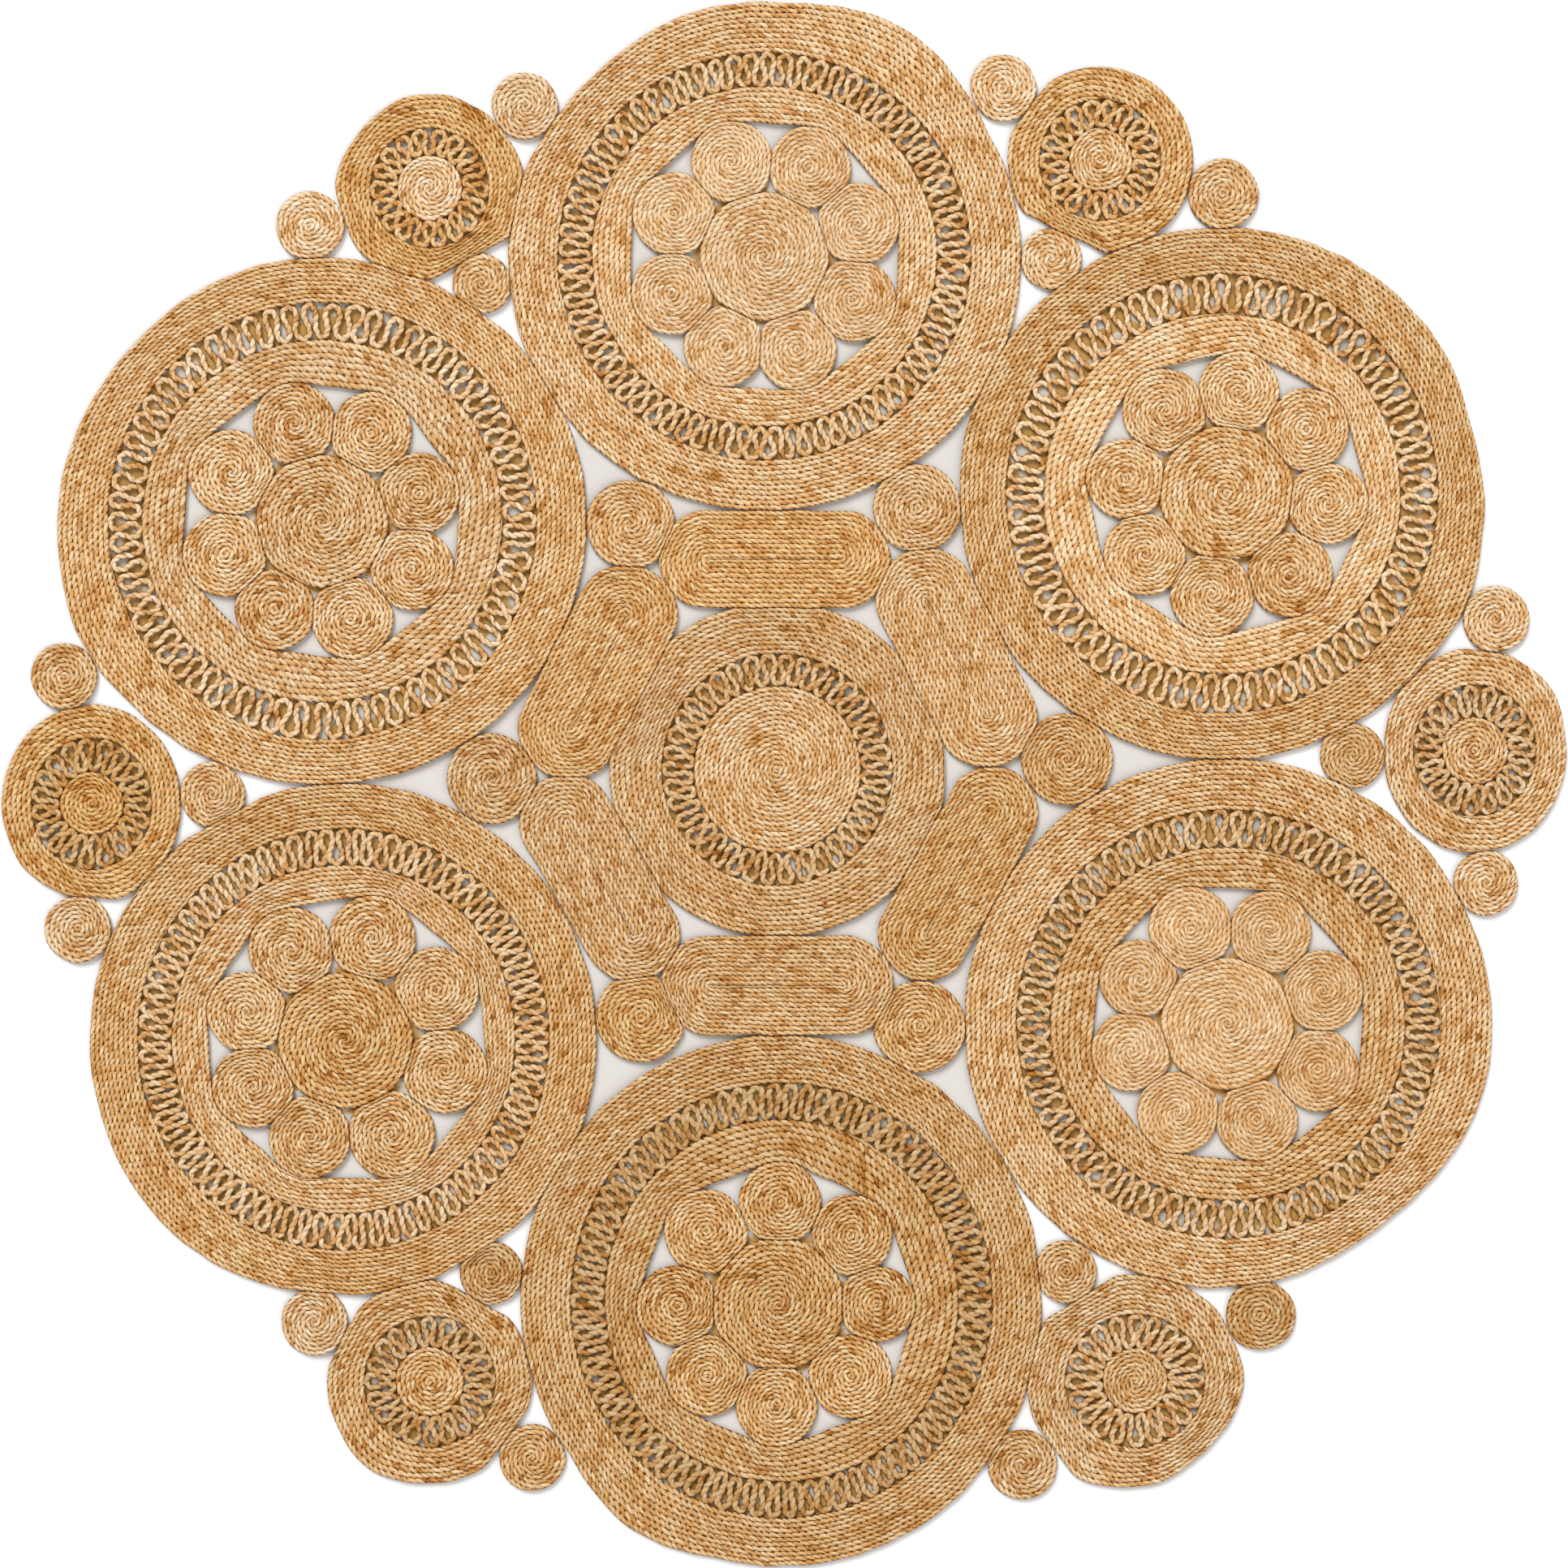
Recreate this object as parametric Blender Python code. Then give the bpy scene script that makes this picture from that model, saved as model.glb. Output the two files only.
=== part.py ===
# A round rug of jute cord, 1.83 m across, wound and sewn in flat coils: six large
# medallions in a ring, a rosette with three small coils in each notch of the rim,
# and a centre medallion inside a ring of six long ovals and six gap coils.
# Metres, +Z up. The rug lies on Z = 0, and +Y is the side called north.
from collections import namedtuple

import bpy
import numpy as np
from mathutils import Vector
from mathutils.geometry import convex_hull_2d, intersect_sphere_sphere_2d

THICKNESS = 0.008
LOOP_THICKNESS = 0.0075
# Between two pieces that are sewn together.
GAP = 0.0003
# How deep a core coil and the petals round it press each other flat.
PETAL_PRESS = 0.0015

# Points of an outline before it is thinned, and how far thinning may leave the curve.
DENSE = 360
BEND = 0.0011
CORE_BEND = 0.0006
# Segments of the plain rings inside a medallion.
RING_SEGMENTS = 32
SMALL_RING_SEGMENTS = 20
OUTER_ARC_SEGMENTS = 7
INNER_ARC_SEGMENTS = 4

# A slot is one opening of a loop ring. Its length is a share of the ring's width.
SLOT_LENGTH = 0.66
SLOT_OUTER_WIDTH = 0.0072
SLOT_INNER_WIDTH = 0.0050

CORD = (0.560, 0.375, 0.190)
CORD_ORANGE = (0.520, 0.320, 0.145)
CORD_PALE = (0.610, 0.430, 0.235)
CORD_DARK = (0.480, 0.300, 0.150)
ROUGHNESS = 0.9

Medallion = namedtuple(
    "Medallion",
    "x y rim_x rim_y loops_x loops_y band_x band_y core_dx core_dy core_r slots",
)
MEDALLIONS = {
    "north": Medallion(
        -0.023, 0.618, 0.301, 0.298, 0.242, 0.239, 0.202, 0.199, 0, 0, 0.071, 34
    ),
    "northeast": Medallion(
        0.513, 0.340, 0.308, 0.312, 0.253, 0.257, 0.209, 0.211, 0.005, 0.001, 0.074, 28
    ),
    "southeast": Medallion(
        0.520, -0.281, 0.309, 0.311, 0.248, 0.251, 0.208, 0.207, -0.001, 0, 0.073, 33
    ),
    "south": Medallion(
        -0.003, -0.605, 0.306, 0.311, 0.247, 0.255, 0.207, 0.212, -0.004, -0.004, 0.073, 40
    ),
    "southwest": Medallion(
        -0.516, -0.299, 0.297, 0.300, 0.241, 0.247, 0.201, 0.204, 0.002, -0.001, 0.075, 38
    ),
    "northwest": Medallion(
        -0.541, 0.308, 0.310, 0.309, 0.251, 0.256, 0.211, 0.212, 0, 0, 0.073, 30
    ),
}
# The eight petal coils round each core: direction in degrees from +X, then radius.
PETAL_ANGLES = {
    "north": (109, 63, 19, 334, 289, 246, 202, 155),
    "northeast": (127, 83, 38, 354, 308, 262, 217, 172),
    "southeast": (111, 65, 19, 333, 287, 241, 196, 153),
    "south": (89, 43, 0, 315, 269, 225, 181, 135),
    "southwest": (121, 75, 29, 343, 296, 250, 207, 164),
    "northwest": (106, 61, 16, 332, 287, 242, 199, 152),
}
PETAL_RADII = {
    "north": (0.047, 0.047, 0.047, 0.0475, 0.046, 0.046, 0.047, 0.0475),
    "northeast": (0.048, 0.0465, 0.0475, 0.0465, 0.0485, 0.048, 0.047, 0.046),
    "southeast": (0.048, 0.047, 0.0465, 0.0475, 0.0465, 0.047, 0.0455, 0.0445),
    "south": (0.047, 0.0465, 0.044, 0.048, 0.047, 0.0465, 0.0465, 0.048),
    "southwest": (0.049, 0.0495, 0.0485, 0.0485, 0.0495, 0.047, 0.047, 0.046),
    "northwest": (0.047, 0.0465, 0.0465, 0.0475, 0.047, 0.046, 0.0485, 0.049),
}

Centre = namedtuple("Centre", "x y rim_x rim_y loops_x loops_y coil_r slots")
CENTRE = Centre(-0.008, 0.017, 0.197, 0.196, 0.135, 0.136, 0.0975, 19)

# An oval is wound round a straight start; lean is its angle in degrees from +X.
Oval = namedtuple("Oval", "x y half_length half_width lean")
OVALS = {
    "north": Oval(-0.011, 0.263, 0.136, 0.058, 0),
    "northeast": Oval(0.202, 0.148, 0.137, 0.061, -63),
    "southeast": Oval(0.204, -0.105, 0.136, 0.055, 61),
    "south": Oval(-0.008, -0.236, 0.137, 0.059, 0),
    "southwest": Oval(-0.216, -0.110, 0.132, 0.057, -60),
    "northwest": Oval(-0.218, 0.131, 0.134, 0.061, 63),
}

Coil = namedtuple("Coil", "x y radius")
GAP_COILS = {
    "north_northwest": Coil(-0.1795, 0.304, 0.0525),
    "north_northeast": Coil(0.156, 0.323, 0.052),
    "east": Coil(0.331, 0.029, 0.054),
    "south_southeast": Coil(0.159, -0.284, 0.054),
    "south_southwest": Coil(-0.168, -0.273, 0.053),
    "west": Coil(-0.342, 0.006, 0.053),
}

Rosette = namedtuple("Rosette", "x y rim_x rim_y loops_x loops_y core_r slots")
ROSETTES = {
    "north_northwest": Rosette(-0.415, 0.698, 0.110, 0.110, 0.070, 0.070, 0.038, 9),
    "north_northeast": Rosette(0.3705, 0.731, 0.109, 0.109, 0.071, 0.071, 0.037, 9),
    "east": Rosette(0.809, 0.039, 0.107, 0.120, 0.072, 0.077, 0.039, 10),
    "south_southeast": Rosette(0.411, -0.699, 0.127, 0.125, 0.082, 0.078, 0.038, 10),
    "south_southwest": Rosette(-0.415, -0.700, 0.120, 0.119, 0.077, 0.077, 0.040, 10),
    "west": Rosette(-0.811, -0.023, 0.105, 0.116, 0.071, 0.077, 0.037, 10),
}
# The three small coils sewn to each rosette; the last one fills the notch behind it.
RIM_COILS = {
    "north_northwest": (
        Coil(-0.3035, 0.794, 0.039),
        Coil(-0.555, 0.654, 0.040),
        Coil(-0.354, 0.586, 0.035),
    ),
    "north_northeast": (
        Coil(0.257, 0.815, 0.039),
        Coil(0.514, 0.691, 0.0415),
        Coil(0.313, 0.615, 0.036),
    ),
    "east": (
        Coil(0.834, 0.193, 0.039),
        Coil(0.822, -0.116, 0.038),
        Coil(0.666, 0.033, 0.038),
    ),
    "south_southeast": (
        Coil(0.558, -0.622, 0.041),
        Coil(0.279, -0.797, 0.041),
        Coil(0.330, -0.571, 0.037),
    ),
    "south_southwest": (
        Coil(-0.550, -0.630, 0.039),
        Coil(-0.295, -0.789, 0.039),
        Coil(-0.343, -0.573, 0.037),
    ),
    "west": (
        Coil(-0.843, 0.126, 0.039),
        Coil(-0.827, -0.170, 0.039),
        Coil(-0.6695, -0.012, 0.0385),
    ),
}

# Where a rim is fuller (+) or flatter (-) than its ellipse: direction and half width
# in degrees, height in metres.
Bulge = namedtuple("Bulge", "piece direction half_width height")
BULGES = (
    Bulge("medallion_north", 58, 30, 0.014),
    Bulge("medallion_north", 135, 35, -0.008),
    Bulge("medallion_northeast", 15, 20, -0.006),
    Bulge("medallion_northeast", 336, 18, 0.006),
    Bulge("medallion_southeast", 307, 42, -0.014),
    Bulge("medallion_south", 236, 24, 0.010),
    Bulge("medallion_southwest", 230, 40, 0.004),
    Bulge("medallion_northwest", 140, 45, -0.007),
    Bulge("medallion_northwest", 206, 22, 0.006),
    Bulge("rosette_north_northwest", 140, 40, -0.005),
    Bulge("rosette_east", 35, 30, 0.004),
    Bulge("rosette_south_southeast", 315, 50, -0.010),
    Bulge("rosette_south_southeast", 240, 25, 0.007),
    Bulge("rosette_south_southwest", 235, 35, 0.005),
    Bulge("rosette_west", 245, 30, -0.004),
)

# A shape is an ellipse or, where start and end differ, one drawn out into an oval.
# give is how easily it flattens against a neighbour, beside the neighbour's own.
Shape = namedtuple("Shape", "start end rx ry give")
LARGE_GIVE = 1.0
SMALL_GIVE = 1.5
CENTRE_GIVE = 6.0


def circle_angles(count):
    return np.arange(count) * (2 * np.pi / count)


def ellipse(x, y, rx, ry, count):
    angles = circle_angles(count)
    return np.stack([x + rx * np.cos(angles), y + ry * np.sin(angles)], axis=1)


def ellipse_radius(rx, ry, angle):
    return 1 / np.hypot(np.cos(angle) / rx, np.sin(angle) / ry)


def round_shape(x, y, rx, ry, give):
    middle = np.array([x, y])
    return Shape(middle, middle, rx, ry, give)


def oval_shape(oval):
    middle = np.array([oval.x, oval.y])
    lean = np.radians(oval.lean)
    reach = oval.half_length - oval.half_width
    along = reach * np.array([np.cos(lean), np.sin(lean)])
    return Shape(
        middle - along, middle + along, oval.half_width, oval.half_width, LARGE_GIVE
    )


def all_shapes():
    shapes = {}
    for name, m in MEDALLIONS.items():
        shapes["medallion_" + name] = round_shape(m.x, m.y, m.rim_x, m.rim_y, LARGE_GIVE)
    for name, oval in OVALS.items():
        shapes["oval_" + name] = oval_shape(oval)
    for name, c in GAP_COILS.items():
        shapes["gap_" + name] = round_shape(c.x, c.y, c.radius, c.radius, SMALL_GIVE)
    for name, r in ROSETTES.items():
        shapes["rosette_" + name] = round_shape(r.x, r.y, r.rim_x, r.rim_y, SMALL_GIVE)
        for number, c in enumerate(RIM_COILS[name]):
            rim = round_shape(c.x, c.y, c.radius, c.radius, SMALL_GIVE)
            shapes[f"rim_{name}_{number}"] = rim
    c = CENTRE
    shapes["centre"] = round_shape(c.x, c.y, c.rim_x, c.rim_y, CENTRE_GIVE)
    return shapes


def nearest_points(one, other):
    """The nearest two points of two shapes' straight starts."""
    share = np.linspace(0, 1, 101)[:, None]
    on_one = one.start + (one.end - one.start) * share
    on_other = other.start + (other.end - other.start) * share
    apart = np.linalg.norm(on_one[:, None] - on_other[None], axis=2)
    i, j = np.unravel_index(apart.argmin(), apart.shape)
    return on_one[i], on_other[j]


def swell(name, angles):
    """How far the bulges of a shape's rim stand out from its ellipse."""
    total = np.zeros(np.shape(angles))
    for bulge in BULGES:
        if bulge.piece == name:
            away = np.degrees(angles) - bulge.direction
            away = np.abs((away + 180) % 360 - 180) / bulge.half_width
            total = total + bulge.height * np.cos(np.minimum(away, 1) * np.pi / 2) ** 2
    return total


def press_line(one, other, one_name="", other_name=""):
    """The line that one is flattened against by other: a point, the outward normal."""
    here, there = nearest_points(one, other)
    apart = np.linalg.norm(there - here)
    normal = (there - here) / apart
    angle = np.arctan2(normal[1], normal[0])
    reach = ellipse_radius(one.rx, one.ry, angle) + swell(one_name, angle)
    other_reach = ellipse_radius(other.rx, other.ry, angle)
    overlap = reach + other_reach + swell(other_name, angle + np.pi) - apart
    if overlap < -GAP:
        return None
    share = one.give / (one.give + other.give)
    return here + normal * (reach - (overlap + GAP) * share), normal


def sewn_together(one, other):
    """A rosette's band and its own small coils are one piece, so they aren't pressed."""
    return {one.split("_")[0], other.split("_")[0]} <= {"rosette", "rim"}


def pressed(points, lines):
    for point, normal in lines:
        depth = np.maximum((points - point) @ normal, 0)
        points = points - depth[:, None] * normal
    return points


def outline(name, shapes):
    """The outline of a shape with its bulges, flattened against its neighbours."""
    shape = shapes[name]
    angles = circle_angles(DENSE)
    points = ellipse(0, 0, shape.rx, shape.ry, DENSE)
    outward = points / np.linalg.norm(points, axis=1)[:, None]
    points = points + outward * swell(name, angles)[:, None]
    ahead = points @ (shape.end - shape.start) > 0
    points = points + np.where(ahead[:, None], shape.end, shape.start)
    lines = [
        press_line(shape, other, name, other_name)
        for other_name, other in shapes.items()
        if other_name != name and not sewn_together(name, other_name)
    ]
    return pressed(points, [line for line in lines if line is not None])


def thinned(points, bend=BEND):
    """The points that an outline needs to stay within bend of the dense one."""
    far = int(np.argmax(np.linalg.norm(points - points[0], axis=1)))
    count = len(points)
    kept = {0, far}
    spans = [(0, far), (far, count)]
    while spans:
        first, last = spans.pop()
        if last - first < 2:
            continue
        a = points[first]
        chord = points[last % count] - a
        normal = np.array([-chord[1], chord[0]]) / np.linalg.norm(chord)
        away = np.abs((points[first + 1 : last] - a) @ normal)
        if away.max() > bend:
            middle = first + 1 + int(away.argmax())
            kept.add(middle)
            spans += [(first, middle), (middle, last)]
    return points[sorted(kept)]


def inside(points, fence):
    """True for each point inside a closed outline: a ray from it crosses it oddly."""
    start, end = fence, np.roll(fence, -1, axis=0)
    x, y = points[:, :1], points[:, 1:]
    crosses = (start[:, 1] > y) != (end[:, 1] > y)
    rise = np.where(end[:, 1] == start[:, 1], 1, end[:, 1] - start[:, 1])
    at = start[:, 0] + (y - start[:, 1]) * (end[:, 0] - start[:, 0]) / rise
    return (crosses & (x < at)).sum(axis=1) % 2 == 1


def run_outside(points, covered):
    """The points that aren't covered, in order, starting just after those that are."""
    start = int(np.flatnonzero(covered & ~np.roll(covered, -1))[0]) + 1
    points = np.roll(points, -start, axis=0)
    return points[~np.roll(covered, -start)]


def joined(band, coil):
    """One outline round a band and a coil that overlaps its edge."""
    band_left = run_outside(band, inside(band, coil))
    coil_left = run_outside(coil, inside(coil, band))
    return np.concatenate([band_left, coil_left])


def petals_of(name):
    """The core's shape, and (centre, radius, direction) of its petals, anticlockwise."""
    m = MEDALLIONS[name]
    core = np.array([m.x + m.core_dx, m.y + m.core_dy])
    petals = []
    for degrees, radius in zip(PETAL_ANGLES[name], PETAL_RADII[name]):
        angle = np.radians(degrees)
        distance = m.core_r + radius - PETAL_PRESS
        direction = np.array([np.cos(angle), np.sin(angle)])
        petals.append((core + distance * direction, radius, angle))
    core_shape = round_shape(*core, m.core_r, m.core_r, LARGE_GIVE)
    return core_shape, petals[::-1]


def arc(middle, radius, start, end, segments):
    """Points of an arc from start up to, not with, end, both angles."""
    angles = start + (end - start) * np.arange(segments) / segments
    return middle + radius * np.stack([np.cos(angles), np.sin(angles)], axis=1)


def turned_near(angle, near):
    """The same direction, given as the angle within half a turn of near."""
    return near + (angle - near + np.pi) % (2 * np.pi) - np.pi


def petal_ring(core, petals, grow=0.0):
    """The outer and the inner outline round the petals, fused where they touch."""
    core_middle = Vector(core.start)
    outer, inner = [], []
    for i, (middle, radius, outward) in enumerate(petals):
        near_ends, far_ends = [], []
        for neighbour in (petals[i - 1], petals[(i + 1) % len(petals)]):
            meets = intersect_sphere_sphere_2d(
                Vector(middle), radius + grow, Vector(neighbour[0]), neighbour[1] + grow
            )
            near, far = sorted(meets, key=lambda p: (p - core_middle).length)
            near, far = near - Vector(middle), far - Vector(middle)
            near_ends.append(turned_near(np.arctan2(near.y, near.x), outward + np.pi))
            far_ends.append(turned_near(np.arctan2(far.y, far.x), outward))
        outer.append(arc(middle, radius + grow, *far_ends, OUTER_ARC_SEGMENTS))
        near_arc = arc(middle, radius + grow, *near_ends, INNER_ARC_SEGMENTS)
        petal = round_shape(*middle, radius, radius, LARGE_GIVE)
        inner.append(pressed(near_arc, [press_line(petal, core)]))
    return np.concatenate(outer), np.concatenate(inner)


def hull(points):
    order = convex_hull_2d([Vector(p) for p in points])
    return np.array([points[i] for i in order])


def slots(x, y, outer, inner, count):
    """Openings of a loop ring between two ellipses, each given by its (rx, ry)."""
    found = []
    for angle in circle_angles(count) + np.pi / count:
        outer_reach = ellipse_radius(*outer, angle)
        inner_reach = ellipse_radius(*inner, angle)
        middle = (outer_reach + inner_reach) / 2
        half = (outer_reach - inner_reach) * SLOT_LENGTH / 2
        along = np.array([np.cos(angle), np.sin(angle)])
        across = np.array([-along[1], along[0]])
        corners = (
            (middle - half, SLOT_INNER_WIDTH / 2),
            (middle + half, SLOT_OUTER_WIDTH / 2),
            (middle + half, -SLOT_OUTER_WIDTH / 2),
            (middle - half, -SLOT_INNER_WIDTH / 2),
        )
        found.append(np.array([(x, y) + d * along + w * across for d, w in corners]))
    return found


def material(name, colour):
    made = bpy.data.materials.new(name)
    made.use_nodes = True
    shader = made.node_tree.nodes["Principled BSDF"]
    shader.inputs["Base Color"].default_value = (*colour, 1)
    shader.inputs["Roughness"].default_value = ROUGHNESS
    shader.inputs["Metallic"].default_value = 0.0
    made.diffuse_color = (*colour, 1)
    return made


def plate(name, outlines, thickness, colour):
    """A flat piece on the floor: the first outline is its rim, the others its holes."""
    curve = bpy.data.curves.new(name, "CURVE")
    curve.dimensions = "2D"
    curve.fill_mode = "BOTH"
    curve.extrude = thickness / 2
    for points in outlines:
        spline = curve.splines.new("POLY")
        spline.points.add(len(points) - 1)
        rows = np.zeros((len(points), 4))
        rows[:, :2] = points
        rows[:, 3] = 1
        spline.points.foreach_set("co", rows.ravel())
        spline.use_cyclic_u = True
    made = bpy.data.objects.new(name, curve)
    made.location.z = thickness / 2
    curve.materials.append(material(name, colour))
    parts.objects.link(made)
    return made


def add_medallion(name, shapes):
    m = MEDALLIONS[name]
    whole = "medallion_" + name
    loops_edge = ellipse(m.x, m.y, m.loops_x, m.loops_y, RING_SEGMENTS)
    loops_hole = ellipse(m.x, m.y, m.loops_x + GAP, m.loops_y + GAP, RING_SEGMENTS)
    plate(
        whole + "_border", [thinned(outline(whole, shapes)), loops_hole], THICKNESS, CORD
    )
    band_edge = ellipse(m.x, m.y, m.band_x, m.band_y, RING_SEGMENTS)
    band_hole = ellipse(m.x, m.y, m.band_x + GAP, m.band_y + GAP, RING_SEGMENTS)
    loops, band = (m.loops_x, m.loops_y), (m.band_x, m.band_y)
    openings = slots(m.x, m.y, loops, band, m.slots)
    plate(
        whole + "_loop_ring", [loops_edge, band_hole, *openings], LOOP_THICKNESS, CORD_DARK
    )

    core, petals = petals_of(name)
    outer, inner = petal_ring(core, petals)
    grown, _ = petal_ring(core, petals, GAP)
    core_outline = ellipse(*core.start, core.rx, core.ry, DENSE)
    for middle, radius, _ in petals:
        petal = round_shape(*middle, radius, radius, LARGE_GIVE)
        core_outline = pressed(core_outline, [press_line(core, petal)])
    plate(whole + "_inner_band", [band_edge, hull(grown)], THICKNESS, CORD)
    plate(whole + "_petals", [outer, inner], THICKNESS, CORD_PALE)
    plate(whole + "_core", [thinned(core_outline, CORE_BEND)], THICKNESS, CORD_PALE)


def add_centre(shapes):
    c = CENTRE
    edge = ellipse(c.x, c.y, c.loops_x, c.loops_y, RING_SEGMENTS)
    hole = ellipse(c.x, c.y, c.loops_x + GAP, c.loops_y + GAP, RING_SEGMENTS)
    plate("centre_band", [thinned(outline("centre", shapes)), hole], THICKNESS, CORD)
    coil_hole = ellipse(c.x, c.y, c.coil_r + GAP, c.coil_r + GAP, RING_SEGMENTS)
    loops, coil = (c.loops_x, c.loops_y), (c.coil_r, c.coil_r)
    openings = slots(c.x, c.y, loops, coil, c.slots)
    plate("centre_loop_ring", [edge, coil_hole, *openings], LOOP_THICKNESS, CORD_DARK)
    coil = ellipse(c.x, c.y, c.coil_r, c.coil_r, RING_SEGMENTS)
    plate("centre_coil", [coil], THICKNESS, CORD_PALE)


def add_rosette(name, shapes):
    r = ROSETTES[name]
    whole = "rosette_" + name
    rim = outline(whole, shapes)
    for number in range(len(RIM_COILS[name])):
        rim = joined(rim, outline(f"rim_{name}_{number}", shapes))
    hole = ellipse(r.x, r.y, r.loops_x + GAP, r.loops_y + GAP, SMALL_RING_SEGMENTS)
    plate(whole + "_band", [thinned(rim), hole], THICKNESS, CORD_ORANGE)
    edge = ellipse(r.x, r.y, r.loops_x, r.loops_y, SMALL_RING_SEGMENTS)
    loops, core = (r.loops_x, r.loops_y), (r.core_r, r.core_r)
    openings = slots(r.x, r.y, loops, core, r.slots)
    plate(whole + "_core", [edge, *openings], LOOP_THICKNESS, CORD_DARK)


for old in list(bpy.data.objects):
    bpy.data.objects.remove(old, do_unlink=True)
parts = bpy.data.collections.new("round_jute_rug")
bpy.context.scene.collection.children.link(parts)

all_outlines = all_shapes()
for direction in MEDALLIONS:
    add_medallion(direction, all_outlines)
add_centre(all_outlines)
for direction in OVALS:
    oval_rim = thinned(outline("oval_" + direction, all_outlines))
    plate("oval_" + direction, [oval_rim], THICKNESS, CORD_ORANGE)
for direction in GAP_COILS:
    coil_rim = thinned(outline("gap_" + direction, all_outlines))
    plate("gap_coil_" + direction, [coil_rim], THICKNESS, CORD_DARK)
for direction in ROSETTES:
    add_rosette(direction, all_outlines)
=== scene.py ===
import bmesh
import bpy
import numpy as np
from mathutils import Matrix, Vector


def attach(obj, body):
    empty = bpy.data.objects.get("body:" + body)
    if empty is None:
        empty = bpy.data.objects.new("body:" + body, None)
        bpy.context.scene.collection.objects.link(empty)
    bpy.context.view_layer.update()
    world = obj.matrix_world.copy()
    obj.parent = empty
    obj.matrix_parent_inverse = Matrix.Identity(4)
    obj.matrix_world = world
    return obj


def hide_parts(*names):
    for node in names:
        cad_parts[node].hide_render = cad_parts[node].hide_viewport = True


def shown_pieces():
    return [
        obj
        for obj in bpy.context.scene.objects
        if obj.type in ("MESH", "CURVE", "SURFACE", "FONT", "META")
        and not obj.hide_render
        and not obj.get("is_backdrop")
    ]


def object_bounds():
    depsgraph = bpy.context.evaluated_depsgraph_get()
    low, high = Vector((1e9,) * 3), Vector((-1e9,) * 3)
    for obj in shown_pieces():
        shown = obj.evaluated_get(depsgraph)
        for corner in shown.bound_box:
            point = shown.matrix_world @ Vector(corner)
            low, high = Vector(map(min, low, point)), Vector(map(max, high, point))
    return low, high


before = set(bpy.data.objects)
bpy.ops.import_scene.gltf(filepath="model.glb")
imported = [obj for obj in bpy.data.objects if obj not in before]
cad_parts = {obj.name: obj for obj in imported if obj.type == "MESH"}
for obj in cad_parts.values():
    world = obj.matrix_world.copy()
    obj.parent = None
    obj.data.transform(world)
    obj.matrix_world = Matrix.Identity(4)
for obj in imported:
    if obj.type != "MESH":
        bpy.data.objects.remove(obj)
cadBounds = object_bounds()

# The camera comes first. The photograph looks straight down on the rug, which fills it.
cameraSetup = {
    "lens": 85.0,
    "sensor": 36.0,
    "fieldWidth": 1.8354,  # metres across the picture, at the height of the cord's top
    "topHeight": 0.008,
}


def addObject(name, data):
    made = bpy.data.objects.new(name, data)
    bpy.context.scene.collection.objects.link(made)
    return made


def makeCamera(setup):
    data = bpy.data.cameras.new("camera")
    data.lens = setup["lens"]
    data.sensor_width = setup["sensor"]
    data.sensor_fit = "HORIZONTAL"
    data.clip_end = 100
    made = addObject("camera", data)
    distance = setup["fieldWidth"] * setup["lens"] / setup["sensor"]
    made.location = (0, 0, distance + setup["topHeight"])
    bpy.context.scene.camera = made


makeCamera(cameraSetup)
print("camera set")

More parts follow.
